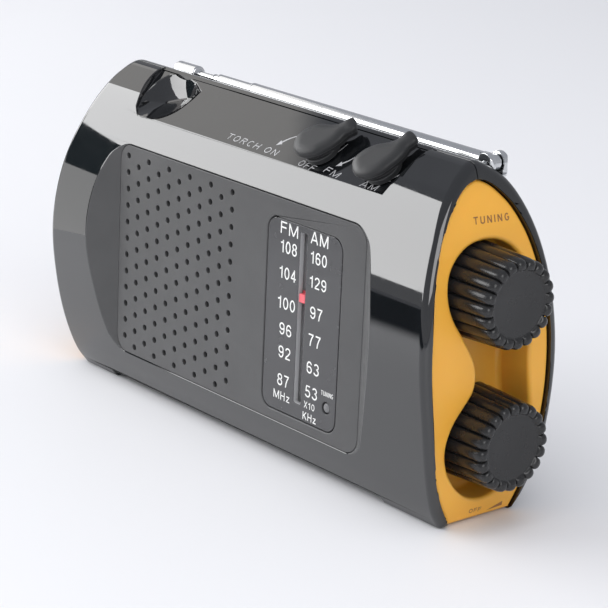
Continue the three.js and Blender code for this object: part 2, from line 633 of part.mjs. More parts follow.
function gear({ x, z }, teeth, phase, y0, y1) {
  const radius = (MODULE * teeth) / 2;
  const root = radius - 1.1;
  const tip = radius + 0.75;
  const tooth = [[-0.3, root], [-0.08, tip], [0.08, tip], [0.3, root]];
  return prismY(toothed(teeth, tooth, phase, x, z), y0, y1);
}
const dynamoRod = (radius, y0, y1, sides) => rodY(DYNAMO.x, DYNAMO.z, radius, y0, y1, sides);

add("crank_arm", crankArm(), "matte");
add("crank_shaft", rodY(CRANK.x, CRANK.z, 2.6, 4.6, CRANK.handleY - 1.6, 16), "steel");
add("grip_pin", rodZ(gripX, CRANK.handleY, 1.2, CRANK.z - 7, CRANK.z + 7, 12), "steel");
add("grip_core", gripCore(), "steel");
add("crank_grip", crankGrip(), "knob");
add(
  "crank_gear",
  gear(CRANK, WHEEL, 0, 7.6, 10.4).subtract(rodY(CRANK.x, CRANK.z, 2.9, 6.6, 11.4, 14)),
  "white",
);
add(
  "idler_gear",
  gear(IDLER, WHEEL, DYNAMO_ANGLE, ...LOW)
    .add(gear(IDLER, PINION, MESHING, 6.2, 10.4))
    .subtract(rodY(IDLER.x, IDLER.z, 1.7, 0, 20, 12)),
  "white",
);
add(
  "dynamo_rotor",
  dynamoRod(8, -7, 0.2, 20)
    .add(dynamoRod(1.6, 0, 6.6, 14))
    .add(gear(DYNAMO, PINION, DYNAMO_ANGLE + MESHING, ...LOW)),
  "steel",
);
add(
  "dynamo_housing",
  dynamoRod(11, -8.6, 2.0, 28)
    .subtract(dynamoRod(8.6, -7.4, 0.8, 24))
    .subtract(dynamoRod(2.2, 0, 5, 14)),
  "steel",
);
// plate with the idler's axle on it
add(
  "gear_plate",
  prismY(rounded(-22, 33, 20, 52.5, 4), 0.4, 2.4)
    .subtract(dynamoRod(11.4, -5, 5, 28))
    .subtract(rodY(CRANK.x, CRANK.z, 3.0, -5, 5, 16))
    .add(rodY(IDLER.x, IDLER.z, 1.4, 1, 11.4, 12)),
  "steel",
);

// ---------------------------------------------------------------- reception rod
const FERRITE = { y: 6.2, z: 76 };
const ferriteRod = (radius, x0, x1, sides) => rodX(FERRITE.y, FERRITE.z, radius, x0, x1, sides);
add("ferrite_rod", ferriteRod(4, -52, 8, 12), "ferrite");
add("reception_coil", ferriteRod(5.5, -46, -30, 14).subtract(ferriteRod(4.4, -60, 0, 12)), "brass");

// ---------------------------------------------------------------- telescopic aerial
const hingeHole = rodY(AERIAL.x, AERIAL.z, 1.2, AERIAL.y - 9, AERIAL.y + 9, 10);

// round flange and stem with two cheeks for the hinge
function aerialBase() {
  const { x, y, z } = AERIAL;
  const cheeks = [[y - 3.1, y - 1.35], [y + 1.35, y + 3.1]].map(([y0, y1]) =>
    rodY(x, z, 2.9, y0, y1, 20).add(box(x - 2.4, x + 2.4, y0, y1, 90.0, z)),
  );
  return rodZ(x, y, 3.7, 89.7, 90.45, 20)
    .add(rodZ(x, y, 1.9, 81.2, 90, 12))
    .add(union(cheeks))
    .intersect(rodZ(x, y, 3.75, 60, 120, 28))
    .subtract(hingeHole);
}

// thin tube, open at x0 and closed at x1
const tube = (radius, x0, x1) =>
  rodX(AERIAL.y, AERIAL.z, radius, x0, x1, 20)
    .subtract(rodX(AERIAL.y, AERIAL.z, radius - 0.25, x0 - 1, x1 - 1.5, 20));

// widest tube, with the hinge tongue
function aerialTube1() {
  const { x, y, z } = AERIAL;
  return tube(2.2, -29.3, 69.0)
    .add(rodY(x, z, 2.2, y - 1, y + 1, 16))
    .add(box(68.4, x, y - 1, y + 1, z - 2.1, z + 2.1))
    .subtract(hingeHole);
}

// innermost rod with its tip, as [x, radius]
const AERIAL_ROD = [
  [-66.4, 0], [-66.4, 1.9], [-65.8, 2.35], [-55.9, 2.35],
  [-55.3, 1.9], [-54.9, 1.0], [44, 1.0], [44, 0],
];
add("aerial_base", aerialBase(), "chrome");
add(
  "aerial_nut",
  rodZ(AERIAL.x, AERIAL.y, 3.6, 79.2, 81.6, 6)
    .subtract(rodZ(AERIAL.x, AERIAL.y, 2.2, 60, 90, 12)),
  "steel",
);
add("aerial_pin", rodY(AERIAL.x, AERIAL.z, 0.95, AERIAL.y - 3.3, AERIAL.y + 3.3, 10), "steel");
add("aerial_tube_1", aerialTube1(), "chrome");
add("aerial_tube_2", tube(1.8, -45.5, 52), "chrome");
add("aerial_tube_3", tube(1.4, -48.0, 48), "chrome");
add("aerial_rod", revolveX(AERIAL_ROD, AERIAL.y, AERIAL.z, 16), "chrome");

// ---------------------------------------------------------------- power
function batteryDoor() {
  const { x0, x1, y } = BATTERY;
  return box(x0 + GAP, x1 - GAP, -y + GAP, y - GAP, FOOT + 0.1, 4.3)
    .add(box(-39, -33, -y + 3, y - 3, 4.2, 4.9));
}
function batteryBox() {
  const { x0, x1 } = BATTERY;
  return box(x0 - 1.2, x1 + 1.2, -12.0, 12.0, 5.3, 17.4)
    .subtract(box(x0 + 0.2, x1 - 0.2, -11.1, 11.1, 4, 16.5));
}
add("battery_door", batteryDoor(), "matte");
add("battery_box", batteryBox(), "paper");
// two cells side by side, pointing opposite ways: y, x range of the body and of the tip
for (const [name, y, body, tip] of [
  ["battery_1", -5.55, [-58.4, -14.9], [-15, -13.6]],
  ["battery_2", 5.55, [-57.1, -13.6], [-58.4, -57]],
])
  add(
    name,
    rodX(y, BATTERY.z, 5.2, ...body, 20).add(rodX(y, BATTERY.z, 1.8, ...tip, 12)),
    "label",
  );
add("charge_cell_pack", prismY(rounded(-4, 32, 6, 18.2, 2), -9, 8), "board");

// ---------------------------------------------------------------- case screws
// slotted head at the rear, shank running to the front
const caseScrew = (x, z) =>
  rodY(x, z, 2.7, 5.3, 7.1, 12)
    .add(rodY(x, z, 1.2, -10.5, 5.5, 8))
    .subtract(box(x - 1.9, x + 1.9, 6.3, 9, z - 0.4, z + 0.4));
SCREWS.forEach(([x, z], i) => add("case_screw_" + (i + 1), caseScrew(x, z), "steel"));

export default root;
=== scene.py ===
"""A wind-up portable radio with a torch in one end and two knobs in the other.

The frame is in metres, +Z up. Shapes are drawn here in millimetres about the middle of the case:
x runs along it (torch end at -x, knob end at +x), the grille panel faces -y, the crank lies in the
+y side, and the case stands on z = 0. place() moves each finished mesh into the frame.
"""
import json
import math
from contextlib import contextmanager
from types import SimpleNamespace as Sizes

import bmesh
import bpy
import numpy as np
from mathutils import Matrix, Vector, geometry

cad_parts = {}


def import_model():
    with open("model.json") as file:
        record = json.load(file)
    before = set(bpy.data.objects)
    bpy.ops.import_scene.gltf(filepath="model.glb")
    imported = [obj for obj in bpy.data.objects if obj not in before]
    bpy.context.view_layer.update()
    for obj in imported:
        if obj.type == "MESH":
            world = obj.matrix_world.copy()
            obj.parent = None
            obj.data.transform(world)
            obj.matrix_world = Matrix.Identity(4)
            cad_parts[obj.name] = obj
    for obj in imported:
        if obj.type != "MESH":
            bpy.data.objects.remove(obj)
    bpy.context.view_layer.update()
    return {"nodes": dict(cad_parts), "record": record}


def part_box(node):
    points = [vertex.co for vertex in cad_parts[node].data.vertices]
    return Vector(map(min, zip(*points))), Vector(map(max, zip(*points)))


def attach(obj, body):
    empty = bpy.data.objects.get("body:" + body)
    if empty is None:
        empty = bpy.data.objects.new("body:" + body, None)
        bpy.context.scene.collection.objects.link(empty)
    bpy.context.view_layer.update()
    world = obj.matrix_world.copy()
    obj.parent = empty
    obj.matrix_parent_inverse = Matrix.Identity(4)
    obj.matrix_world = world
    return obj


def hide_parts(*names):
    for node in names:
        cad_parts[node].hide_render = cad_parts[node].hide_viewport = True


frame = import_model()
NODES = frame["nodes"]
SLOT_OF = {part["node"]: part["material_slot"] for part in frame["record"]["subparts"]}
BODY_OF = {
    name: body for body, names in frame["record"]["behaviour"]["bodies"].items() for name in names
}

# ---------------------------------------------------------------- where the frame puts things
MM = 1000.0  # millimetres in a metre
case_lo, case_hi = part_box("front_shell")
tuning_lo, tuning_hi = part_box("tuning_knob")
volume_lo, volume_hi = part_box("volume_knob")
CASE_X = (case_lo.x + case_hi.x) * MM / 2
CASE_Y = (tuning_lo.y + tuning_hi.y) * MM / 2
TUNING_Z = (tuning_lo.z + tuning_hi.z) * MM / 2
VOLUME_Z = (volume_lo.z + volume_hi.z) * MM / 2
KNOB_X0, KNOB_X1 = tuning_lo.x * MM - CASE_X, tuning_hi.x * MM - CASE_X
TO_FRAME = Matrix.Scale(0.001, 4) @ Matrix.Translation((CASE_X, CASE_Y, 0))
FROM_FRAME = TO_FRAME.inverted()

# ---------------------------------------------------------------- driving sizes, mm
HEIGHT = 95.2
END_X = case_hi.x * MM - CASE_X  # the bulged ends reach this x
END_Z, END_R = 33.4, 174.0  # height of the fullest point of the bulge, and its radius
WALL, GAP = 2.4, 0.3
PARTING = 0.15  # half the gap between the two shells
FOOT = 2.5  # height of the hollow under the case
RIM_FILLET = 2.2  # round between the case's arch and its ends

# section of the case: (y, z), from the foot at -y over the top to the foot at +y
ARCH = [
    (-13.4, 0), (-16.6, 4.8), (-19.9, 14.3), (-22.6, 28.6), (-24.0, 47.0), (-21.5, 64.8),
    (-16.3, 78.1), (-10.4, 87.6), (-5.5, 92.4), (0.4, HEIGHT), (7.3, 92.4), (12.4, 87.6),
    (17.6, 78.1), (21.2, 64.8), (22.7, 47.0), (21.4, 28.6), (18.8, 14.3), (15.1, 4.8), (11.9, 0),
]
# outline of the end plates: (y, z)
PLATE = [
    (-10.6, -1), (-12.2, 2.5), (-15.2, 8), (-17.9, 15), (-20.0, 29), (-21.2, 44), (-20.5, 54),
    (-18.5, 67), (-15.3, 76.2), (-11.8, 82), (-7.6, 87), (-3.6, 89.9), (0.4, 90.8), (4.4, 89.2),
    (7.7, 86.5), (10.9, 83), (14.9, 76), (17.6, 68), (19.8, 54), (20.1, 44), (19.2, 30),
    (16.6, 15), (13.6, 6), (10.4, -1),
]
# outline of the well behind both knobs: (y, z)
WELL = [
    (0, 75.5), (-5.3, 74.6), (-9.2, 72.4), (-12.2, 69.0), (-13.4, 65.2), (-13.4, 61.0),
    (-12.2, 57.0), (-9.9, 53.0), (-7.4, 48.6), (-5.6, 44.4), (-5.2, 40.4), (-6.2, 36.8),
    (-8.9, 33.6), (-12.0, 30.0), (-14.0, 26.0), (-14.6, 21.6), (-13.6, 17.2), (-11.4, 13.2),
    (-8.2, 9.6), (-4.3, 7.0), (0.3, 6.0), (4.9, 7.0), (8.8, 9.6), (12.0, 13.4), (13.9, 17.6),
    (14.6, 22.4), (14.2, 28.0), (13.4, 34.0), (13.0, 40.0), (13.2, 47.0), (13.6, 54.0),
    (13.8, 60.0), (13.6, 64.6), (12.2, 69.2), (9.2, 72.6), (5.3, 74.7),
]
WELL_X = 73.8  # floor of the well
# outline of a lever's paddle: (across, along), with the tail at +along
PADDLE = [
    (0, -7.0), (3.9, -5.2), (6.1, -1.2), (5.9, 2.8), (4.2, 6.2), (2.7, 8.4), (2.7, 10.2),
    (2.2, 11.4), (-2.2, 11.4), (-2.7, 10.2), (-2.4, 8.0), (-3.0, 5.4), (-4.7, 2.2), (-5.8, -1.6),
    (-4.9, -5.2),
]

# the grille panel leans back; x0 to x1 and z0 to z1 with corner radius r, thickness t
LEAN, PANEL_Y = math.radians(1.65), -19.6
PANEL = Sizes(x0=-57.6, x1=55.1, z0=12.6, z1=75.7, r=5.0, t=2.2)
FLARE = 1.5  # sideways spread of the panel's recess per mm of depth
DIAL = Sizes(x0=13.2, x1=45.5, z0=15.6, z1=70.2, r=4.0, t=1.6)
SLOT = Sizes(x=28.9, w=3.0, z0=20.2, z1=68.2)
POINTER_Z = 49.9
LAMP_X, LAMP_Z = 41.3, 22.4
HOLES = Sizes(x=-53.5, z=72.4, pitch_x=5.03, pitch_z=4.99, cols=11, rows=12, r=0.9)

# the strip slopes along the top of the front; the levers stand on it
TILT, STRIP_Y, STRIP_Z = math.radians(39), -13.2, 83.72
LEVERS = [("torch_lever", 24.6, 7.2, -39.0), ("band_lever", 49.8, 7.2, -23.0)]  # x, up, degrees

AERIAL = Sizes(x=72.4, y=9.4, z=92.95)  # the hinge
CRANK = Sizes(x=-12.0, z=45.0, dish=36.0, floor=14.5, grip=29.5, mid=18.7)
TORCH_Y, TORCH_Z = -0.4, 46.0
BATTERY = Sizes(x0=-60.0, x1=-12.0, y=11.6)
SCREWS = [(-68, 79), (61, 81), (-68, 12.4), (66, 11.6)]  # x, z


# ---------------------------------------------------------------- curves and outlines
def unit(vectors):
    return vectors / np.linalg.norm(vectors, axis=1)[:, None]


def left(vectors):
    return np.stack([-vectors[:, 1], vectors[:, 0]], 1)


def looped(line):
    return np.vstack([line, line[:1]])


def spaced(line, count, endpoint=True):
    """count points evenly spaced along a polyline"""
    run = np.concatenate([[0], np.cumsum(np.linalg.norm(np.diff(line, axis=0), axis=1))])
    where = np.linspace(0, run[-1], count, endpoint=endpoint)
    return np.stack([np.interp(where, run, column) for column in line.T], 1)


def catmull(points, steps):
    """centripetal Catmull-Rom curve through points, in equal steps along its length"""
    p = np.array(points, float)
    p = np.vstack([2 * p[0] - p[1], p, 2 * p[-1] - p[-2]])
    t = np.linspace(0, 1, 60, endpoint=False)[:, None]
    parts = []
    for before, start, end, after in zip(p, p[1:], p[2:], p[3:]):
        gap0, gap1, gap2 = (
            max(np.linalg.norm(b - a), 1e-6) ** 0.5
            for a, b in ((before, start), (start, end), (end, after))
        )
        slope0 = (start - before) / gap0 - (end - before) / (gap0 + gap1) + (end - start) / gap1
        slope1 = (end - start) / gap1 - (after - start) / (gap1 + gap2) + (after - end) / gap2
        slope0, slope1 = slope0 * gap1, slope1 * gap1
        cubic = 2 * start - 2 * end + slope0 + slope1
        square = -3 * start + 3 * end - 2 * slope0 - slope1
        parts.append(cubic * t**3 + square * t**2 + slope0 * t + start)
    return spaced(np.vstack(parts + [p[-2][None]]), steps + 1)


def closed_spline(points, count):
    """the same curve run right round a ring of points"""
    overlapped = points[-3:] + points + points[:4]
    line = catmull(overlapped, 40 * (len(points) + 6))
    away = np.linalg.norm(line - np.array(points[0]), axis=1)
    half = len(line) // 2
    first = int(np.argmin(away[: 40 * 6]))
    last = half + int(np.argmin(away[half:]))
    return spaced(line[first : last + 1], count, endpoint=False)


def ccw(points):
    p = np.array(points, float)
    area = np.sum(p[:, 0] * np.roll(p[:, 1], -1) - np.roll(p[:, 0], -1) * p[:, 1])
    return p if area > 0 else p[::-1]


def inset(points, distance):
    """a closed outline moved inwards"""
    p = ccw(points)
    normal0 = left(unit(p - np.roll(p, 1, axis=0)))
    normal1 = left(unit(np.roll(p, -1, axis=0) - p))
    shift = distance / np.maximum(1 + np.sum(normal0 * normal1, axis=1), 0.2)
    return p + (normal0 + normal1) * shift[:, None]


def rounded(x0, x1, z0, z1, r, n=10):
    """a rectangle with n steps round each corner"""
    corners = (
        (x1 - r, z0 + r, -90), (x1 - r, z1 - r, 0), (x0 + r, z1 - r, 90), (x0 + r, z0 + r, 180),
    )
    points = []
    for x, z, start in corners:
        for i in range(n + 1):
            angle = math.radians(start + 90 * i / n)
            points.append((x + r * math.cos(angle), z + r * math.sin(angle)))
    return np.array(points)


def grown(sizes, margin, r, n=10):
    """the rounded outline of PANEL or DIAL with a margin added all round"""
    return rounded(
        sizes.x0 - margin, sizes.x1 + margin, sizes.z0 - margin, sizes.z1 + margin, r, n
    )


def circle(a, b, r, n=48):
    t = np.linspace(0, 2 * math.pi, n, endpoint=False)
    return np.stack([a + r * np.cos(t), b + r * np.sin(t)], 1)


def end_x(z):
    """how far the bulged end reaches at height z"""
    return END_X - (z - END_Z) ** 2 / (2 * END_R)


def distance_to(line, y, z):
    start = line[:-1]
    step = line[1:] - start
    t = ((np.array([y, z]) - start) * step).sum(1) / np.maximum((step * step).sum(1), 1e-12)
    nearest = start + step * np.clip(t, 0, 1)[:, None]
    return float(np.sqrt(((nearest - [y, z]) ** 2).sum(1)).min())


def inside(ring, x, y):
    p = np.asarray(ring)
    q = np.roll(p, -1, axis=0)
    crossing = (q[:, 0] - p[:, 0]) * (y - p[:, 1]) / (q[:, 1] - p[:, 1] + 1e-12) + p[:, 0]
    hit = ((p[:, 1] > y) != (q[:, 1] > y)) & (x < crossing)
    return bool(hit.sum() % 2)


# ---------------------------------------------------------------- axes to draw on
def basis(x, y, z, origin=(0, 0, 0)):
    rows = [(x[i], y[i], z[i], origin[i]) for i in range(3)]
    return Matrix((*rows, (0, 0, 0, 1)))


# each takes (first, second, third); outlines are drawn on the first two
ALONG_X = basis((0, 1, 0), (0, 0, 1), (1, 0, 0))
ALONG_Y = basis((1, 0, 0), (0, 0, 1), (0, -1, 0))  # third axis runs to -y
ALONG_Z = Matrix.Identity(4)
COS, SIN = math.cos(LEAN), math.sin(LEAN)
ON_PANEL = basis((1, 0, 0), (0, SIN, COS), (0, COS, -SIN), (0, PANEL_Y, 0))  # x, up, inwards
PANEL_INK = ON_PANEL @ basis((1, 0, 0), (0, 1, 0), (0, 0, -1), (0, 0, 0.1))  # x, up, outwards
COS, SIN = math.cos(TILT), math.sin(TILT)
ON_STRIP = basis((1, 0, 0), (0, COS, SIN), (0, -SIN, COS), (0, STRIP_Y, STRIP_Z))  # x, up, out
FROM_PANEL, FROM_STRIP = ON_PANEL.inverted(), ON_STRIP.inverted()
PANEL_NORMAL = (ON_PANEL.to_3x3() @ Vector((0, 0, -1))).normalized()
STRIP_NORMAL = (ON_STRIP.to_3x3() @ Vector((0, 0, 1))).normalized()


# ---------------------------------------------------------------- meshes
@contextmanager
def editing(mesh):
    bm = bmesh.new()
    bm.from_mesh(mesh)
    yield bm
    bm.to_mesh(mesh)
    bm.free()


def new_object(name, mesh):
    o = bpy.data.objects.new(name, mesh)
    bpy.context.scene.collection.objects.link(o)
    return o


def closed_mesh(verts, faces):
    mesh = bpy.data.meshes.new("part")
    mesh.from_pydata([tuple(map(float, v)) for v in verts], [], faces)
    with editing(mesh) as bm:
        bmesh.ops.recalc_face_normals(bm, faces=bm.faces)
    return new_object("part", mesh)


def remove(o):
    mesh = o.data
    bpy.data.objects.remove(o)
    bpy.data.meshes.remove(mesh)


def pairs(ring):
    return zip(ring, ring[1:] + ring[:1])


def band(first, second):
    """the faces between two rings of vertex numbers; either may be a single point"""
    if len(first) == 1:
        return [(first[0], c, d) for c, d in pairs(second)]
    if len(second) == 1:
        return [(a, b, second[0]) for a, b in pairs(first)]
    return [(a, b, d, c) for (a, b), (c, d) in zip(pairs(first), pairs(second))]


def stack(rings):
    """vertices of rings of points, their numbers ring by ring, and the faces between"""
    verts, numbers, faces = [], [], []
    for ring in rings:
        numbers.append(list(range(len(verts), len(verts) + len(ring))))
        verts.extend(ring)
    for first, second in zip(numbers, numbers[1:]):
        faces += band(first, second)
    return verts, numbers, faces


def prism(outline, start, end, axes):
    """outline extruded along the third of the axes"""
    points = np.array(outline, float)
    verts, (low, high), faces = stack(
        [[axes @ Vector((a, b, h)) for a, b in points] for h in (start, end)]
    )
    return closed_mesh(verts, [low[::-1], high] + faces)


def prism_x(outline, x0, x1):
    return prism(outline, x0, x1, ALONG_X)


def prism_y(outline, y0, y1):
    return prism(outline, -y1, -y0, ALONG_Y)


def prism_z(outline, z0, z1):
    return prism(outline, z0, z1, ALONG_Z)


def on_panel(outline, depth0, depth1):
    return prism(outline, depth0, depth1, ON_PANEL)


def on_strip(outline, height0, height1):
    return prism(outline, height0, height1, ON_STRIP)


def cube(x0, x1, y0, y1, z0, z1):
    return prism_z([(x0, y0), (x1, y0), (x1, y1), (x0, y1)], z0, z1)


def revolve(profile, axes, n=64):
    """a profile of (axial, radius), closed or from axis to axis, turned round the third axis"""
    angles = [2 * math.pi * i / n for i in range(n)]
    rings = []
    for a, r in profile:
        if r == 0:
            rings.append([axes @ Vector((0, 0, a))])
        else:
            rings.append([axes @ Vector((r * math.cos(t), r * math.sin(t), a)) for t in angles])
    verts, numbers, faces = stack(rings)
    if len(numbers[0]) > 1:
        faces += band(numbers[-1], numbers[0])
    return closed_mesh(verts, faces)


def turned_x(profile, y, z, n=64):
    return revolve(profile, Matrix.Translation((0, y, z)) @ ALONG_X, n)


def turned_z(profile, x, y, n=64):
    return revolve(profile, Matrix.Translation((x, y, 0)), n)


OPERATIONS = {"-": "DIFFERENCE", "+": "UNION", "&": "INTERSECT"}


def solid(base, *steps):
    """base with steps "-", "+" or "&", each followed by an object, which is used up"""
    tools = steps[1::2]
    for sign, tool in zip(steps[::2], tools):
        m = base.modifiers.new("b", "BOOLEAN")
        m.operation, m.solver, m.object = OPERATIONS[sign], "MANIFOLD", tool
    depsgraph = bpy.context.evaluated_depsgraph_get()
    depsgraph.update()
    mesh = bpy.data.meshes.new_from_object(base.evaluated_get(depsgraph))
    base.modifiers.clear()
    old = base.data
    base.data = mesh
    bpy.data.meshes.remove(old)
    for tool in tools:
        remove(tool)
    if len(mesh.polygons) == 0:
        raise RuntimeError("a boolean gave nothing for " + base.name)
    return base


def merged(parts):
    """several separate closed bodies as one mesh"""
    mesh = bpy.data.meshes.new("part")
    with editing(mesh) as bm:
        for part in parts:
            bm.from_mesh(part.data)
    for part in parts:
        remove(part)
    return new_object("part", mesh)


def tidy(o, merge=0.004, angle=0.15):
    with editing(o.data) as bm:
        bmesh.ops.remove_doubles(bm, verts=bm.verts, dist=merge)
        bmesh.ops.dissolve_degenerate(bm, edges=bm.edges, dist=merge)
        bmesh.ops.dissolve_limit(
            bm, angle_limit=math.radians(angle), verts=bm.verts, edges=bm.edges, delimit=set()
        )
    return o


def bevel(o, width, segments, angle, where=lambda x, y, z: True):
    """rounds the edges sharper than angle degrees whose middle passes where(x, y, z)"""
    with editing(o.data) as bm:
        bm.normal_update()
        picked = []
        for e in bm.edges:
            if len(e.link_faces) == 2 and e.calc_face_angle(0.0) >= math.radians(angle):
                if where(*((e.verts[0].co + e.verts[1].co) / 2)):
                    picked.append(e)
        if picked:
            bmesh.ops.bevel(
                bm, geom=picked, offset=width, offset_type="OFFSET", segments=segments,
                profile=0.5, affect="EDGES", clamp_overlap=False, loop_slide=False,
                miter_outer="SHARP",
            )
        bmesh.ops.remove_doubles(bm, verts=bm.verts, dist=0.002)


def give(o, material):
    o.data.materials.clear()
    o.data.materials.append(material)


def place(o, name, node, smooth=30, weighted=True, material=None, printed=False):
    """moves a finished mesh into the frame and lets it ride; print replaces no CAD piece"""
    o.name = name
    o.data.name = name
    o.data.transform(TO_FRAME)
    o.data.shade_smooth()
    with editing(o.data) as bm:
        bm.normal_update()
        for e in bm.edges:
            if len(e.link_faces) == 2:
                e.smooth = e.calc_face_angle(0.0) < math.radians(smooth)
    if weighted:
        m = o.modifiers.new("normals", "WEIGHTED_NORMAL")
        m.mode = "FACE_AREA"
        m.keep_sharp = True
    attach(o, "case" if printed else BODY_OF[node])
    if not printed:
        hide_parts(node)
    give(o, MATERIALS[material or SLOT_OF[node]])
    return o


def place_ink(o, name, node, material):
    place(o, name, node, smooth=40, weighted=False, material=material, printed=True)


def recolour(o, material, picks):
    """gives a second material to the faces that pass picks(normal, centre)"""
    o.data.materials.append(MATERIALS[material])
    for face in o.data.polygons:
        if picks(face.normal, FROM_FRAME @ face.center):
            face.material_index = 1


# ---------------------------------------------------------------- materials
def add_node(tree, kind, inputs={}, **settings):
    """a new shader node; its inputs, by name or number, are set, or linked to a socket"""
    new = tree.nodes.new("ShaderNode" + kind)
    for name, value in settings.items():
        setattr(new, name, value)
    for key, value in inputs.items():
        if isinstance(value, bpy.types.NodeSocket):
            tree.links.new(value, new.inputs[key])
        else:
            new.inputs[key].default_value = value
    return new


def noise(tree, coords, **inputs):
    return add_node(tree, "TexNoise", {"Vector": coords, **inputs}).outputs[0]


def remap(tree, value, start, end, low=0.0, high=1.0, **settings):
    """value rescaled from start..end to low..high"""
    inputs = {"Value": value, "From Min": start, "From Max": end, "To Min": low, "To Max": high}
    return add_node(tree, "MapRange", inputs, **settings).outputs[0]


def multiply(tree, a, b):
    return add_node(tree, "Math", {0: a, 1: b}, operation="MULTIPLY").outputs[0]


def mix_colour(tree, factor, a, b):
    """inputs 6 and 7 and output 2 are the Mix node's colour sockets"""
    return add_node(tree, "Mix", {0: factor, 6: a, 7: b}, data_type="RGBA").outputs[2]


def worn_edges(tree, colour, amount, worn):
    """a lighter colour where the rounded normal leaves the true one"""
    geo = add_node(tree, "NewGeometry")
    soft = add_node(tree, "Bevel", {"Radius": 0.0004}, samples=4)
    dot = add_node(
        tree, "VectorMath", {0: soft.outputs[0], 1: geo.outputs["Normal"]},
        operation="DOT_PRODUCT",
    )
    edge = remap(tree, dot.outputs["Value"], start=0.985, end=0.86)
    return mix_colour(tree, multiply(tree, edge, amount), colour, (*worn, 1))


def dusted(tree, coords, colour, amount):
    """grey specks on the faces that look up"""
    geo = add_node(tree, "NewGeometry")
    height = add_node(tree, "SeparateXYZ", {0: geo.outputs["Normal"]}).outputs[2]
    up = remap(tree, height, start=0.2, end=1.0)
    specks = noise(tree, coords, Scale=900.0, Detail=6.0, Roughness=0.8)
    specks = remap(tree, specks, start=0.62, end=0.8)
    cover = multiply(tree, multiply(tree, up, specks), amount)
    return mix_colour(tree, cover, colour, (0.45, 0.44, 0.42, 1))


def bump(tree, height, strength, distance, below):
    """a bump laid over the one below, if there is one"""
    inputs = {"Strength": strength, "Distance": distance, "Height": height}
    if below is not None:
        inputs["Normal"] = below
    return add_node(tree, "Bump", inputs).outputs[0]


def material(
    name, color, rough, metal=0.0, spread=0.06, rough_spread=0.06, blotch_scale=60.0,
    grain=0.0, grain_scale=2500.0, wave=0.0, wave_scale=40.0, ior=1.5, specular=0.5,
    subsurface=0.0, transmission=0.0, wear=0.0, wear_color=None, lines=None, dust=0.0,
):
    """a finish whose colour and roughness drift in blotches

    grain is a moulded texture, wave a slow unevenness, wear lightens the edges, and lines is
    the scale on each axis of noise stretched into fine turned or drawn lines.
    """
    made = bpy.data.materials.new(name)
    made.use_nodes = True
    tree = made.node_tree
    tree.nodes.clear()
    coords = add_node(tree, "TexCoord").outputs["Object"]

    blotches = noise(tree, coords, Scale=blotch_scale, Detail=5.0, Roughness=0.55)
    shade = remap(tree, blotches, 0.3, 0.7, low=1 - spread, high=1 + spread)
    scaled = add_node(tree, "VectorMath", {0: color, "Scale": shade}, operation="SCALE")
    colour = scaled.outputs[0]
    patches = noise(tree, coords, Scale=blotch_scale * 4.3, Detail=4.0)
    roughness = remap(
        tree, patches, 0.3, 0.7, low=max(rough - rough_spread, 0.0), high=rough + rough_spread
    )
    if wear > 0:
        colour = worn_edges(tree, colour, wear, wear_color)
    if dust > 0:
        colour = dusted(tree, coords, colour, dust)

    normal = None
    if grain > 0:
        height = noise(tree, coords, Scale=grain_scale, Detail=3.0, Roughness=0.6)
        normal = bump(tree, height, strength=grain, distance=0.0001, below=normal)
    if wave > 0:
        height = noise(tree, coords, Scale=wave_scale, Detail=1.0, Roughness=0.4)
        normal = bump(tree, height, strength=wave, distance=0.0004, below=normal)
    if lines:
        stretched = add_node(tree, "Mapping", {"Scale": lines, "Vector": coords}).outputs[0]
        height = noise(tree, stretched, Scale=1.0, Detail=2.0, Roughness=0.5)
        normal = bump(tree, height, strength=0.12, distance=0.00005, below=normal)

    inputs = {
        "Base Color": colour, "Roughness": roughness, "Metallic": metal, "IOR": ior,
        "Specular IOR Level": specular, "Transmission Weight": transmission,
    }
    if subsurface:
        inputs["Subsurface Weight"] = subsurface
        inputs["Subsurface Radius"] = (1.0, 0.45, 0.12)
        inputs["Subsurface Scale"] = 0.0025
    if normal is not None:
        inputs["Normal"] = normal
    surface = add_node(tree, "BsdfPrincipled", inputs)
    add_node(tree, "OutputMaterial", {0: surface.outputs[0]})
    return made


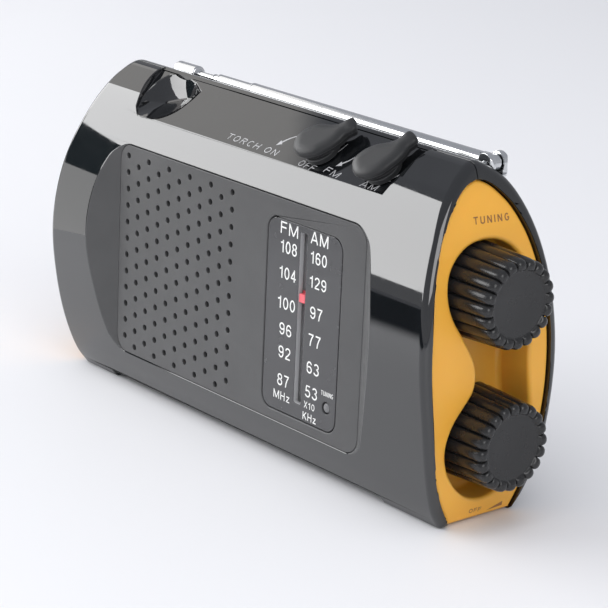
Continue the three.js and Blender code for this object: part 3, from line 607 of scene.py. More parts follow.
# the first sixteen are named after the frame's material slots
FINISHES = {
    "gloss_black": dict(
        color=(0.0055, 0.0062, 0.0072), rough=0.045, spread=0.2, rough_spread=0.02, wave=0.02,
        wave_scale=22.0, specular=1.0, wear=0.15, wear_color=(0.03, 0.031, 0.034), dust=0.10),
    "dark_grey": dict(
        color=(0.066, 0.066, 0.067), rough=0.40, spread=0.08, rough_spread=0.05, grain=0.35,
        grain_scale=2600.0, wear=0.4, wear_color=(0.16, 0.16, 0.162)),
    "knob_black": dict(
        color=(0.016, 0.016, 0.0165), rough=0.25, spread=0.1, rough_spread=0.05, grain=0.18,
        grain_scale=3200.0, wear=0.35, wear_color=(0.06, 0.06, 0.06)),
    "amber": dict(
        color=(0.86, 0.43, 0.055), rough=0.38, spread=0.035, rough_spread=0.05, grain=0.12,
        grain_scale=2200.0, subsurface=0.22, blotch_scale=35.0),
    "chrome": dict(
        color=(0.66, 0.67, 0.68), rough=0.12, metal=1.0, spread=0.02, rough_spread=0.03,
        lines=(120.0, 5000.0, 5000.0)),
    "steel": dict(
        color=(0.52, 0.53, 0.55), rough=0.30, metal=1.0, rough_spread=0.08, grain=0.1,
        grain_scale=4000.0),
    "brass": dict(
        color=(0.70, 0.50, 0.22), rough=0.28, metal=1.0, rough_spread=0.08,
        lines=(4000.0, 200.0, 200.0)),
    "red": dict(color=(0.78, 0.05, 0.06), rough=0.25, spread=0.04),
    "light_grey": dict(color=(0.40, 0.40, 0.405), rough=0.45, spread=0.05, grain=0.1),
    "off_white": dict(color=(0.80, 0.79, 0.76), rough=0.42, spread=0.04, grain=0.08),
    "board_green": dict(
        color=(0.03, 0.17, 0.07), rough=0.35, spread=0.15, grain=0.1, blotch_scale=300.0),
    "black_paper": dict(color=(0.022, 0.022, 0.023), rough=0.6, spread=0.15, grain=0.4),
    "cone_paper": dict(
        color=(0.035, 0.033, 0.030), rough=0.85, spread=0.25, grain=0.8, grain_scale=1500.0),
    "ferrite": dict(color=(0.055, 0.055, 0.06), rough=0.7, spread=0.15, grain=0.5),
    "clear": dict(
        color=(0.96, 0.98, 1.0), rough=0.02, transmission=1.0, spread=0.01, rough_spread=0.01,
        ior=1.49),
    "cell_wrap": dict(color=(0.05, 0.15, 0.36), rough=0.3, spread=0.1),
    "dial_window": dict(
        color=(0.052, 0.052, 0.055), rough=0.24, spread=0.05, rough_spread=0.04, grain=0.06,
        grain_scale=1800.0, specular=0.55),
    "lever_grey": dict(
        color=(0.019, 0.0195, 0.0205), rough=0.47, rough_spread=0.05, grain=0.45,
        grain_scale=3000.0, specular=0.4, wear=0.3, wear_color=(0.22, 0.22, 0.225)),
    "print_white": dict(color=(0.86, 0.86, 0.84), rough=0.5, spread=0.05, blotch_scale=700.0),
    "print_strip": dict(color=(0.42, 0.42, 0.43), rough=0.5, spread=0.12, grain=0.1),
    "print_dark": dict(color=(0.30, 0.13, 0.045), rough=0.5, spread=0.1, blotch_scale=700.0),
    # backing behind the dial's slot: near white as painted light, so the shaded, deep slot still
    # reads light grey
    "slot_backing_painted_light": dict(color=(0.80, 0.80, 0.81), rough=0.4, spread=0.05, grain=0.1),
    "slot_wall": dict(color=(0.37, 0.37, 0.375), rough=0.45, spread=0.05, grain=0.1),
    "milky": dict(color=(0.17, 0.17, 0.175), rough=0.25, spread=0.05),
    "pointer_red": dict(color=(0.86, 0.13, 0.16), rough=0.3, spread=0.03),
}
MATERIALS = {name: material(name, **finish) for name, finish in FINISHES.items()}
for name, o in NODES.items():
    give(o, MATERIALS[SLOT_OF[name]])

# ---------------------------------------------------------------- case
ARCH_LINE = catmull(ARCH, 250)
ARCH_RING = ccw(ARCH_LINE)
PLATE_LINE = catmull(PLATE, 150)
PLATE_RING = ccw(PLATE_LINE)
PANEL_RING = grown(PANEL, 0, PANEL.r, 12)
WELL_RING = ccw(closed_spline(WELL, 200))


def at_end(x, z, inwards=0.0, within=0.1):
    return abs(abs(x) - (end_x(z) - inwards)) < within


def on_arch(y, z, within=0.12):
    return distance_to(ARCH_LINE, y, z) < within


def barrel(inwards):
    """everything between the bulged ends, drawn in by inwards"""
    z = np.linspace(-4, 104, 72)
    x = end_x(z) - inwards
    sides = [np.stack([x, z], 1), np.stack([-x, z], 1)[::-1]]
    return prism_y(np.concatenate(sides), -60, 60)


def hull():
    """the arch between its bulged ends, with the rim rounded over"""
    rows = [(inset(ARCH_RING, RIM_FILLET + 1.25 * j), 0.0) for j in range(4, 0, -1)]
    steps = 9
    for j in range(steps, -1, -1):
        t = math.pi / 2 * j / steps
        outline = inset(ARCH_RING, RIM_FILLET * (1 - math.cos(t))) if j else ARCH_RING
        rows.append((outline, RIM_FILLET * (1 - math.sin(t))))
    rings = [
        [(side * (end_x(z) - back), y, z) for y, z in outline]
        for side, ordered in ((-1, rows), (1, rows[::-1]))
        for outline, back in ordered
    ]
    verts, numbers, faces = stack(rings)
    return closed_mesh(verts, faces + [numbers[0][::-1], numbers[-1]])


def in_hull(o):
    return solid(o, "&", hull())


def above_floor():
    return cube(-100, 100, -60, 60, 5, 120)


def seats():
    """the recesses for the end plates, with the groove for their rims"""
    recess = solid(prism_x(PLATE_RING, -95, 95), "-", barrel(5.2))
    groove = solid(prism_x(inset(PLATE_RING, -1.3), -95, 95), "&", barrel(2.7), "-", barrel(4.6))
    return solid(recess, "+", groove)


def cavity():
    room = solid(
        prism_x(inset(ARCH_RING, WALL), -95, 95), "&", barrel(9), "&", above_floor()
    )
    room = solid(room, "+", solid(prism_x(PLATE_RING, -95, 95), "&", above_floor()))
    return solid(room, "+", seats())


def strip_cutter():
    """clears the case above the sloping strip"""
    right_end = catmull([(54.9, 0.3), (56.4, 4.6), (57.6, 9.0), (58.6, 14.0), (59.4, 20)], 14)
    left_end = catmull(
        [(-60.9, 20), (-61.0, 13.2), (-59.6, 7), (-57.9, 3.2), (-55.9, 0.3), (-55.2, -1.2)], 14
    )
    return on_strip(np.vstack([[(54.4, -1.2)], right_end, left_end]), 0.0, 9)


def scoop_cutter():
    """a leaf-shaped hollow: two faces that meet in a valley from the left wall to the tip"""
    n = 30
    lower = catmull([
        (-58.0, 2.4), (-55.6, 0.35), (-51.0, -0.1), (-46.0, 0.9), (-41.6, 4.6), (-39.3, 10.2),
        (-38.8, 13.5),
    ], n)
    upper = catmull([
        (-58.2, 3.0), (-59.5, 7.0), (-59.3, 12.0), (-56.6, 15.9), (-52.0, 17.0), (-45.0, 16.4),
        (-38.8, 13.7),
    ], n)
    valley = catmull([(-58.4, 5.6), (-52.5, 9.3), (-46.0, 12.2), (-38.9, 13.6)], n)
    clear, edge = 3.0, -0.1  # heights above the strip and at the hollow's edge
    rings = []
    for low, top, mid in zip(lower, upper, valley):
        below, above = np.linalg.norm(mid - low), np.linalg.norm(top - mid)
        depth = min(3.4, 0.54 * above)
        to_mid = (mid - low) / max(below, 1e-6)
        to_top = (top - mid) / max(above, 1e-6)
        lip = min(0.8, above * 0.2)
        half_valley = min(0.42, below * 0.12)
        section = (
            (low, clear), (low, edge), (low + (mid - low) * 0.5, edge - depth * 0.5),
            (mid - to_mid * half_valley, edge - depth),
            (mid + to_top * half_valley, edge - depth),
            (mid + (top - mid) * 0.5, edge - depth * 0.5),
            (top - to_top * lip, edge - depth * 0.14), (top, edge), (top, clear),
        )
        rings.append([ON_STRIP @ Vector((p[0], p[1], h)) for p, h in section])
    verts, numbers, faces = stack(rings)
    return closed_mesh(verts, [numbers[0]] + faces + [numbers[-1][::-1]])


def flared(outline, depth, extra=0.0, steps=8):
    """an outline swept outwards from the panel plane, spreading sideways as it goes"""
    p = np.asarray(outline)
    r = PANEL.r
    spread = np.clip((p[:, 0] - PANEL.x1 + r) / r, 0, 1)
    spread = spread - np.clip((PANEL.x0 + r - p[:, 0]) / r, 0, 1)
    rings = []
    for k in range(steps + 1):
        d = depth * k / steps
        shift = FLARE * d + extra + 0.35 * (1 - math.exp(-d / 0.5))
        rings.append([ON_PANEL @ Vector((x + w * shift, z, -d)) for (x, z), w in zip(p, spread)])
    verts, numbers, faces = stack(rings)
    return closed_mesh(verts, faces + [numbers[0][::-1], numbers[-1]])


def foot_hollow():
    return cube(-66, 60, -60, 60, -5, FOOT)


def battery_opening():
    return cube(BATTERY.x0, BATTERY.x1, -BATTERY.y, BATTERY.y, -1, 8)


def shell_edges(s):
    """rounds the lip round the end plate, the front's recesses, the parting line and the feet"""

    def plate_lip(x, y, z):
        return at_end(x, z) and z > 0.2 and distance_to(PLATE_LINE, y, z) < 0.15

    def recess(x, y, z):
        if not (9 < z < 79 and abs(x) < 69 and y < -15):
            return False
        return on_arch(y, z) and not at_end(x, z, 0.5, 1.0)

    def parting(x, y, z):
        return abs(abs(y) - PARTING) < 0.02 and z > 88 and on_arch(y, z, 0.5)

    bevel(s, 0.4, 3, 40, plate_lip)
    bevel(s, 0.4, 3, 30, recess)
    bevel(s, 0.25, 2, 40, parting)
    bevel(s, 0.5, 3, 40, lambda x, y, z: z < 2.7 and on_arch(y, max(z, 0), 0.2))


def front_shell():
    s = solid(hull(), "-", cavity())
    # thicken the wall round the panel, behind the strip and scoop, and at the screws
    surround = grown(PANEL, 2.2, PANEL.r + 2)
    s = solid(
        s, "+", in_hull(on_panel(surround, -8, 6.4)), "+", in_hull(flared(surround, 8, 2.0))
    )
    strip_back = [
        (54.4, -1.5), (56.7, 6.1), (59.0, 17), (59.4, 19), (-60.6, 19), (-61, 13.2), (-59.3, 7),
        (-55.4, -1.5),
    ]
    strip_back = [(x + math.copysign(1.2, x), up) for x, up in strip_back]
    s = solid(s, "+", in_hull(on_strip(strip_back, -2.4, 3)))
    scoop_back = [(-61, -1.6), (-37.4, -1.6), (-37.4, 18), (-61, 18)]
    s = solid(s, "+", in_hull(on_strip(scoop_back, -5.4, 0)))
    for x, z in SCREWS:
        s = solid(s, "+", in_hull(prism_y(circle(x, z, 3.4, 24), -30, 0)))
    s = solid(
        s, "-", on_panel(PANEL_RING, -0.2, PANEL.t + GAP), "-", flared(PANEL_RING, 10),
        "-", on_panel(grown(PANEL, -2.2, PANEL.r - 1.5), -2, 9), "-", strip_cutter(),
        "-", scoop_cutter(),
    )
    for _, x, up, _ in LEVERS:
        s = solid(s, "-", on_strip(circle(x, up, 2.6, 32), -9, 2))
    for x, z in SCREWS:
        s = solid(s, "-", prism_y(circle(x, z, 1.5, 16), -12, 1))
    s = solid(
        s, "-", seats(), "-", foot_hollow(), "-", battery_opening(),
        "&", cube(-100, 100, -60, -PARTING, -5, 120),
    )
    tidy(s, 0.01)
    shell_edges(s)

    def strip_edge(x, y, z):
        q = FROM_STRIP @ Vector((x, y, z))
        near = -0.2 < q.z < 4 and -1.4 < q.y < 17.4 and y < -0.6
        return near and (on_arch(y, z, 0.1) or q.z < 0.02)

    bevel(s, 0.28, 2, 28, strip_edge)
    return s


def rear_shell():
    s = solid(hull(), "-", cavity())
    # walls round the crank dish, the aerial's foot, the screws and the aerial's groove
    dish_back = prism_y(circle(CRANK.x, CRANK.z, CRANK.dish + 2.2, 96), CRANK.floor - 2.2, 40)
    foot_boss = prism_z(circle(AERIAL.x, AERIAL.y, 4.2, 32), 82, 100)
    s = solid(
        s, "+", in_hull(dish_back),
        "+", solid(foot_boss, "&", hull(), "&", cube(0, 100, -20, 60, 0, 120)),
    )
    for x, z in SCREWS:
        s = solid(s, "+", in_hull(prism_y(circle(x, z, 4.2, 32), 0, 30)))
    s = solid(s, "+", in_hull(prism_x(circle(AERIAL.y, AERIAL.z, 4.8, 48), -84, 72)))
    s = solid(
        s, "-", prism_y(circle(CRANK.x, CRANK.z, CRANK.dish, 96), CRANK.floor, 60),
        "-", prism_y(circle(CRANK.x, CRANK.z, 3.4, 32), 0, 60),
        "-", prism_x(circle(AERIAL.y, AERIAL.z, 2.75, 40), -95, 72),
        "-", prism_z(circle(AERIAL.x, AERIAL.y, 4.1, 48), 89.35, 120),
        "-", prism_z(circle(AERIAL.x, AERIAL.y, 2.2, 24), 70, 120), "-", strip_cutter(),
    )
    for x, z in SCREWS:
        s = solid(
            s, "-", prism_y(circle(x, z, 1.5, 20), -1, 40),
            "-", prism_y(circle(x, z, 3.1, 32), 5, 60),
        )
    s = solid(
        s, "-", seats(), "-", prism_z(circle(AERIAL.x, AERIAL.y, 4.6, 24), 74, 82),
        "-", foot_hollow(), "-", battery_opening(), "&", cube(-100, 100, PARTING, 60, -5, 120),
    )
    tidy(s, 0.01)
    shell_edges(s)

    def dish_edge(x, y, z):
        from_rim = abs(math.hypot(x - CRANK.x, z - CRANK.z) - CRANK.dish)
        return y > 10 and from_rim < 0.15 and on_arch(y, z)

    def screw_edge(x, y, z):
        near = min(math.hypot(x - a, z - b) for a, b in SCREWS) < 3.3
        return y > 10 and z > 5 and near and on_arch(y, z)

    def aerial_edge(x, y, z):
        if not (z > 90 and y > 2 and on_arch(y, z)):
            return False
        from_groove = abs(math.hypot(y - AERIAL.y, z - AERIAL.z) - 2.75)
        from_foot = abs(math.hypot(x - AERIAL.x, y - AERIAL.y) - 4.1)
        return from_groove < 0.1 or from_foot < 0.1

    bevel(s, 0.7, 4, 30, dish_edge)
    bevel(s, 0.3, 2, 30, screw_edge)
    bevel(s, 0.25, 2, 30, aerial_edge)
    return s


ARCH_STEPS = np.diff(ARCH_LINE, axis=0)
ARCH_LENGTHS = np.linalg.norm(ARCH_STEPS, axis=1)
ARCH_MIDDLES = ARCH_LINE[:-1] + ARCH_STEPS / 2
ARCH_NORMALS = left(unit(ARCH_STEPS))  # outwards


def arch_normal(y, z):
    """distance from the nearest segment of the arch, and the arch's blended normal there"""
    point = np.array([y, z])
    away = np.hypot(ARCH_MIDDLES[:, 0] - y, ARCH_MIDDLES[:, 1] - z)
    far = np.where(away < ARCH_LENGTHS * 0.5 + 0.4, 0, 1e3)
    off_line = np.abs(((point - ARCH_LINE[:-1]) * ARCH_NORMALS).sum(axis=1))
    i = int(np.argmin(off_line + far))
    offset = point - ARCH_LINE[i]
    t = float(np.clip((offset @ ARCH_STEPS[i]) / ARCH_LENGTHS[i] ** 2, 0, 1))
    before = ARCH_NORMALS[i] + ARCH_NORMALS[i - 1]
    after = ARCH_NORMALS[i] + ARCH_NORMALS[(i + 1) % len(ARCH_NORMALS)]
    blend = before / np.linalg.norm(before) * (1 - t) + after / np.linalg.norm(after) * t
    return abs(float(offset @ ARCH_NORMALS[i])), Vector((0, blend[0], blend[1])).normalized()


def true_normals(o, planes=(), arched=True):
    """gives the big faces their exact normals, so a cut across one leaves no mark in the gloss"""
    mesh = o.data
    normals = [tuple(corner.vector) for corner in mesh.corner_normals]
    for face in mesh.polygons:
        n = face.normal
        flat = next((plane for plane in planes if n.dot(plane) > 0.987), None)
        if flat is not None:
            for k in face.loop_indices:
                normals[k] = tuple(flat)
            continue
        if not arched or abs(n.x) > 0.05:
            continue
        exact = {}
        for k in face.loop_indices:
            corner = FROM_FRAME @ mesh.vertices[mesh.loops[k].vertex_index].co
            off, normal = arch_normal(corner.y, corner.z)
            if off < 0.06 and n.dot(normal) > 0.972:
                exact[k] = tuple(normal)
        if len(exact) == len(face.loop_indices):
            for k, normal in exact.items():
                normals[k] = normal
    mesh.normals_split_custom_set(normals)


def recess_wall(normal, centre):
    """the flared walls at the two sides of the panel's recess"""
    near = 49 < abs(centre.x) < 67 and 8.5 < centre.z < 79 and centre.y < -14
    return abs(normal.x) > 0.22 and near and normal.x * centre.x < 0


front_case = place(front_shell(), "case_front", "front_shell", weighted=False)
true_normals(front_case, (STRIP_NORMAL,))
recolour(front_case, SLOT_OF["front_panel"], recess_wall)
true_normals(place(rear_shell(), "case_rear", "rear_shell", weighted=False))


# ---------------------------------------------------------------- end plates
def clip_low(points, floor):
    """the outline above floor, stepped at about 1.6 mm"""
    kept = []
    p = np.asarray(points)
    for a, b in zip(p, np.roll(p, -1, axis=0)):
        if a[1] >= floor:
            kept.append(tuple(a))
        if (a[1] - floor) * (b[1] - floor) < 0:
            cross = a + (b - a) * ((floor - a[1]) / (b[1] - a[1]))
            kept.append((cross[0], floor))
    stepped = []
    for a, b in pairs(kept):
        k = max(1, int(math.dist(a, b) / 1.6))
        for i in range(k):
            stepped.append((a[0] + (b[0] - a[0]) * i / k, a[1] + (b[1] - a[1]) * i / k))
    return ccw(stepped)


def drop(d, r):
    """fall of a rounded edge of radius r at distance d from it"""
    return 0.0 if d >= r else r - math.sqrt(max(0.0, r * r - (r - d) ** 2))


def skin(hole, hole_round):
    """a sheet at the +x end that follows the bulge, its outline and opening rounded over"""
    edge_round = 0.9
    edge = clip_low(inset(PLATE_RING, GAP), 0.6)
    edge_loop, hole_loop = looped(edge), looped(hole)
    steps = (0.03, 0.1, 0.22, 0.38, 0.58, 0.8, 1.0)
    outlines = [edge, hole]
    outlines += [inset(edge, k * edge_round) for k in steps]
    outlines += [inset(hole, -k * hole_round) for k in steps]
    points = [tuple(p) for outline in outlines for p in outline]

    def on_sheet(y, z):
        return inside(edge, y, z) and not inside(hole, y, z)

    def clear_of_edges(y, z):
        if distance_to(edge_loop, y, z) <= edge_round + 0.8:
            return False
        return distance_to(hole_loop, y, z) > hole_round + 0.8

    for i in range(-16, 17):
        for j in range(1, 58):
            y, z = i * 1.6 + (0.8 if j % 2 else 0), j * 1.6
            if on_sheet(y, z) and clear_of_edges(y, z):
                points.append((y, z))
    first, second = len(edge), len(hole)
    edges = list(pairs(list(range(first)))) + list(pairs(list(range(first, first + second))))
    flat, _, found, origins, _, _ = geometry.delaunay_2d_cdt(
        [Vector(p) for p in points], edges, [], 0, 1e-5
    )
    now_at = {old: new for new, olds in enumerate(origins) for old in olds}
    tris = []
    for t in found:
        y, z = sum(flat[k][0] for k in t) / 3, sum(flat[k][1] for k in t) / 3
        if on_sheet(y, z):
            tris.append(tuple(t))
    verts = []
    for y, z in flat:
        fall_edge = drop(distance_to(edge_loop, y, z), edge_round)
        fall_hole = drop(distance_to(hole_loop, y, z), hole_round)
        verts.append((end_x(z) - 1.0 - max(fall_edge, fall_hole), y, z))
    verts += [(end_x(z) - 3.4, y, z) for y, z in flat]
    back = len(flat)
    faces = tris + [tuple(k + back for k in t[::-1]) for t in tris]
    for i, j in edges:
        a, b = now_at[i], now_at[j]
        faces.append((a, b, b + back, a + back))
    used = sorted({k for face in faces for k in face})
    number = {k: i for i, k in enumerate(used)}
    sheet = closed_mesh([verts[k] for k in used], [tuple(number[k] for k in f) for f in faces])
    rim = solid(
        prism_x(inset(PLATE_RING, -0.9), 0, 95), "&", barrel(3.0), "-", barrel(4.2),
        "&", cube(0, 100, -60, 60, 3.2, 76), "-", prism_x(hole, 0, 99),
    )
    return solid(sheet, "+", rim)


def knob_end():
    s = skin(WELL_RING, 1.25)
    cup = solid(
        prism_x(inset(WELL_RING, -1.5), WELL_X - 1.8, 95), "&", barrel(2.6),
        "&", cube(0, 100, -60, 60, 5.4, 120), "-", prism_x(WELL_RING, WELL_X, 99),
    )
    tidy(cup, 0.01)
    well_line = looped(WELL_RING)

    def floor_edge(x, y, z):
        return abs(x - WELL_X) < 0.03 and distance_to(well_line, y, z) < 0.12

    bevel(cup, 1.6, 5, 40, floor_edge)
    s = solid(s, "+", cup)
    s = solid(
        s, "-", prism_x(circle(0, TUNING_Z, 3.3, 40), 60, 80),
        "-", prism_x(circle(0, VOLUME_Z, 3.3, 40), 60, 80),
    )
    return tidy(s, 0.005, 0.02)


def torch_end():
    s = skin(circle(TORCH_Y, TORCH_Z, 17.6, 120), 0.5)
    s.data.transform(Matrix.Scale(-1, 4, (1, 0, 0)))
    s.data.flip_normals()
    return tidy(s, 0.005, 0.02)


place(knob_end(), "end_plate_knobs", "knob_end_plate")
place(torch_end(), "end_plate_torch", "torch_end_plate")


# ---------------------------------------------------------------- grille panel and dial
def panel_depth(x, y, z):
    return (FROM_PANEL @ Vector((x, y, z))).z


def panel():
    s = on_panel(inset(PANEL_RING, 0.12), 0, PANEL.t)
    holes = []
    for column in range(HOLES.cols):
        for row in range(HOLES.rows):
            x = HOLES.x + column * HOLES.pitch_x
            z = HOLES.z - (row + (0.5 if column % 2 else 0)) * HOLES.pitch_z
            holes.append(on_panel(circle(x, z, HOLES.r, 20), -1, 4))
    s = solid(s, "-", merged(holes), "-", on_panel(grown(DIAL, 0, DIAL.r), -1, 4))
    tidy(s, 0.005)

    def front(x, y, z):
        return abs(panel_depth(x, y, z)) < 0.02

    bevel(s, 0.16, 2, 40, lambda x, y, z: front(x, y, z) and x < 4 and x > -58.5)
    bevel(s, 0.3, 3, 40, front)
    return s


def dial():
    face = 0.1  # depth of the dial's face behind the panel's
    half = SLOT.w / 2
    slot = rounded(SLOT.x - half, SLOT.x + half, SLOT.z0, SLOT.z1, 0.5, 5)
    s = solid(
        on_panel(grown(DIAL, -GAP, DIAL.r - GAP), face, DIAL.t), "-", on_panel(slot, -1, 4),
        "-", on_panel(circle(LAMP_X, LAMP_Z, 1.7, 32), -1, 4),
    )
    tidy(s, 0.005)
    bevel(s, 0.2, 3, 40, lambda x, y, z: abs(panel_depth(x, y, z) - face) < 0.02)
    return s


def pointer():
    """a square finger in the slot, on an arm behind the dial that turns inwards at its end"""

    def arm(x0, depth0, depth1):
        low, high, x1 = POINTER_Z - 1.6, POINTER_Z + 1.6, 39.6
        return on_panel([(x0, low), (x1, low), (x1, high), (x0, high)], depth0, depth1)

    finger = rounded(
        SLOT.x - 1.2, SLOT.x + 1.2, POINTER_Z - 1.2, POINTER_Z + 1.2, 0.3, 4
    )
    s = solid(
        on_panel(finger, 0.3, 2.4), "+", arm(SLOT.x - 2.2, 1.95, 2.8), "+", arm(38.7, 2.2, 4.3)
    )
    tidy(s, 0.005)
    bevel(s, 0.12, 2, 40)
    return s


def slot_side(normal, centre):
    near = abs(centre.x - SLOT.x) < SLOT.w / 2 + 0.1
    return near and abs(normal.dot(PANEL_NORMAL)) < 0.4


grille = place(panel(), "grille_panel", "front_panel", weighted=False)
window = place(dial(), "dial_window", "dial_plate", weighted=False, material="dial_window")
for o in (grille, window):
    true_normals(o, (PANEL_NORMAL, -PANEL_NORMAL), arched=False)
recolour(window, "slot_wall", slot_side)
place(pointer(), "pointer_finger", "dial_pointer", material="pointer_red")
lamp = revolve(
    [(0.1, 0), (0.16, 0.7), (0.34, 1.2), (0.6, 1.4), (3.2, 1.4), (3.2, 0)],
    ON_PANEL @ Matrix.Translation((LAMP_X, LAMP_Z, 0)), 40,
)
place(lamp, "tuning_lamp", "tuning_led", material="milky")
# the dial backing gets the near-white finish, painted light that makes the shaded slot in front of
# it read light grey
give(NODES["dial_backing"], MATERIALS["slot_backing_painted_light"])

# ---------------------------------------------------------------- knobs
# the rounded tip of a flute: (back from the face, in from the side) on a lobe, the same in a
# groove, where the groove's own depth is still to be added to the second
KNOB_TIP = [
    (1.35, 0.04, 1.75, 0.02), (0.85, 0.2, 1.5, 0.1), (0.45, 0.48, 1.32, 0.25),
    (0.18, 0.86, 1.2, 0.45), (0.04, 1.3, 1.12, 0.65), (0.0, 1.75, 1.06, 0.85),
    (0.06, 2.2, 1.02, 1.05), (0.24, 2.6, 0.99, 1.25), (0.52, 2.88, 0.97, 1.42),
    (0.82, 3.02, 0.96, 1.55), (0.95, 3.2, 0.96, 1.75),
]
# the dished face: (back from the face, radius)
KNOB_FACE = [(0.97, 8.4), (0.99, 7.6), (1.08, 6.2), (1.2, 4.2), (1.28, 2.2), (1.3, 0.0)]


def knob(centre_z):
    """twenty rounded flutes parted by grooves, ending in small tips round a dished face"""
    x0, x1 = KNOB_X0, KNOB_X1
    lobes, per_lobe = 20, 18
    n = lobes * per_lobe
    back_r, face_r, groove = 12.9, 12.0, 1.45

    def side(x):
        return back_r + (face_r - back_r) * (x - x0) / (x1 - x0)

    # the hollow back, then the sides: (x, radius) on a lobe and in a groove
    hollow = [
        (x1 - 6.2, 0.0), (x1 - 6.2, 2.5), (x0, 2.5), (x0, 5.0), (x0 + 10, 5.2), (x0 + 10, 9.7),
        (x0, 10.2),
    ]
    profile = [(p, p) for p in hollow]
    profile += [
        ((x0, side(x0) - 0.5), (x0, side(x0) - groove - 0.2)),
        ((x0 + 0.14, side(x0) - 0.16), (x0 + 0.1, side(x0) - groove)),
        ((x0 + 0.5, side(x0 + 0.5)), (x0 + 0.5, side(x0) - groove)),
    ]
    for k in range(1, 8):
        x = x0 + 0.5 + (x1 - 2.1 - x0 - 0.5) * k / 7
        profile.append(((x, side(x)), (x - 0.1, side(x) - groove)))
    for back, drop_in, groove_back, groove_in in KNOB_TIP:
        on_groove = (x1 - groove_back, side(x1) - (groove + groove_in))
        profile.append(((x1 - back, side(x1) - drop_in), on_groove))
    profile += [((x1 - back, r), (x1 - back, r)) for back, r in KNOB_FACE]

    rings = []
    for (lobe_x, lobe_r), (groove_x, groove_r) in profile:
        if lobe_r == 0:
            rings.append([(lobe_x, 0, centre_z)])
            continue
        ring = []
        for i in range(n):
            phase = (i % per_lobe) / per_lobe * 2 - 1
            swell = math.sqrt(max(0.0, 1 - abs(phase) ** 2.2))
            angle = 2 * math.pi * i / n + math.pi / lobes
            r = groove_r + (lobe_r - groove_r) * swell
            x = groove_x + (lobe_x - groove_x) * swell
            ring.append((x, r * math.cos(angle), centre_z + r * math.sin(angle)))
        rings.append(ring)
    verts, _, faces = stack(rings)
    return closed_mesh(verts, faces)


place(knob(TUNING_Z), "knob_tuning", "tuning_knob", smooth=50, weighted=False)
place(knob(VOLUME_Z), "knob_volume", "volume_knob", smooth=50, weighted=False)


# ---------------------------------------------------------------- selector levers
def lever(x, up, turn):
    """a domed paddle that narrows to a flared tail, on a stem with a round skirt"""
    line = ccw(closed_spline(PADDLE, 120))
    lean = np.clip((8.0 - line[:, 1]) / 7.0, 0, 1)
    line[:, 0] -= 1.5 * lean * lean * (3 - 2 * lean)
    line_loop = looped(line)
    n = len(line)
    dome = 3.0

    def top(d):
        k = min(d / dome, 1.0)
        return 4.05 + 1.35 * math.sqrt(max(0.0, 1 - (1 - k) ** 2))

    # (inset, height) from the underside round the rim, then on to the dome
    rim = [
        (1.1, 1.6), (0.8, 1.7), (0.7, 2.0), (0.7, 3.0), (0.6, 3.1), (0.12, 3.15), (0.0, 3.3),
        (0.0, 4.05),
    ]
    rim += [(d, top(d)) for d in (0.05, 0.14, 0.3, 0.55, 0.9)]
    verts, rings, faces = stack(
        [[(a, b, h) for a, b in (inset(line, d) if d else line)] for d, h in rim]
    )
    faces.append(rings[0][::-1])

    inner = inset(line, rim[-1][0])
    inner_loop = looped(inner)
    points = [Vector(p) for p in inner]
    step = 0.45
    for i in range(-15, 16):
        for j in range(-18, 28):
            a, b = i * step + (0.5 * step if j % 2 else 0), j * step
            if inside(inner, a, b) and distance_to(inner_loop, a, b) > 0.3:
                points.append(Vector((a, b)))
    flat, _, tris, origins, _, _ = geometry.delaunay_2d_cdt(
        points, [], [list(range(n))], 1, 1e-5
    )
    number = []
    for (a, b), origin in zip(flat, origins):
        if origin and origin[0] < n:
            number.append(rings[-1][origin[0]])
        else:
            number.append(len(verts))
            verts.append((a, b, top(distance_to(line_loop, a, b))))
    faces += [tuple(number[k] for k in t) for t in tris]
    s = closed_mesh(verts, faces)
    cos, sin = math.cos(math.radians(turn)), math.sin(math.radians(turn))
    stand = ON_STRIP @ Matrix.Translation((x, up, 0))
    s.data.transform(stand @ basis((cos, sin, 0), (-sin, cos, 0), (0, 0, 1)))
    skirt = [(0.35, 0), (0.35, 5.0), (0.5, 5.2), (1.9, 5.2), (2.0, 5.0), (2.0, 0)]
    stem = [(-7.0, 0), (-7.0, 2.0), (-6.8, 2.2), (1.5, 2.2), (1.5, 0)]
    return solid(s, "+", revolve(skirt, stand, 64), "+", revolve(stem, stand, 32))


for name, x, up, turn in LEVERS:
    o = lever(x, up, turn)
    place(o, name + "_paddle", name, smooth=35, weighted=False, material="lever_grey")

# ---------------------------------------------------------------- torch, profiles of (x, radius)
BEZEL = [
    (-86.6, 16.0), (-86.6, 17.3), (-86.45, 17.75), (-85.9, 19.15), (-85.72, 19.4),
    (-85.66, 19.3), (-85.66, 17.3), (-78.5, 17.3), (-78.5, 16.0), (-80.4, 16.0), (-80.5, 15.9),
    (-80.8, 15.9), (-80.9, 16.0), (-85.2, 16.0), (-86.2, 15.9), (-86.5, 15.95),
]
TORCH_LAMP = [
    (-70.8, 0), (-70.7, 0.7), (-70.4, 1.35), (-69.9, 1.95), (-69.2, 2.3), (-68.6, 2.4),
    (-65.6, 2.4), (-65.6, 6.8), (-65.4, 7.0), (-64.2, 7.0), (-64.2, 0),
]


def lens_profile():
    """a shallow bowl with fine rings on its outer face"""
    profile = [(-84.6, 0.0)]
    for k in range(1, 33):
        r = 15.2 * k / 32
        profile.append((-84.6 + 1.1 * (r / 15.2) ** 2 + (0.07 if k % 2 else 0.0), r))
    return profile + [(-83.3, 15.6), (-82.4, 15.6), (-82.4, 0.0)]


def reflector_profile():
    outside = [(-81.8, 15.6), (-81.0, 15.6), (-74.5, 12.6), (-69.5, 8.6), (-66.8, 4.2)]
    steps = [k / 24 for k in range(24, -1, -1)]
    return outside + [(-81.2 + 14.4 * t, 14.2 - 11.0 * t**1.6) for t in steps] + [(-81.8, 14.2)]


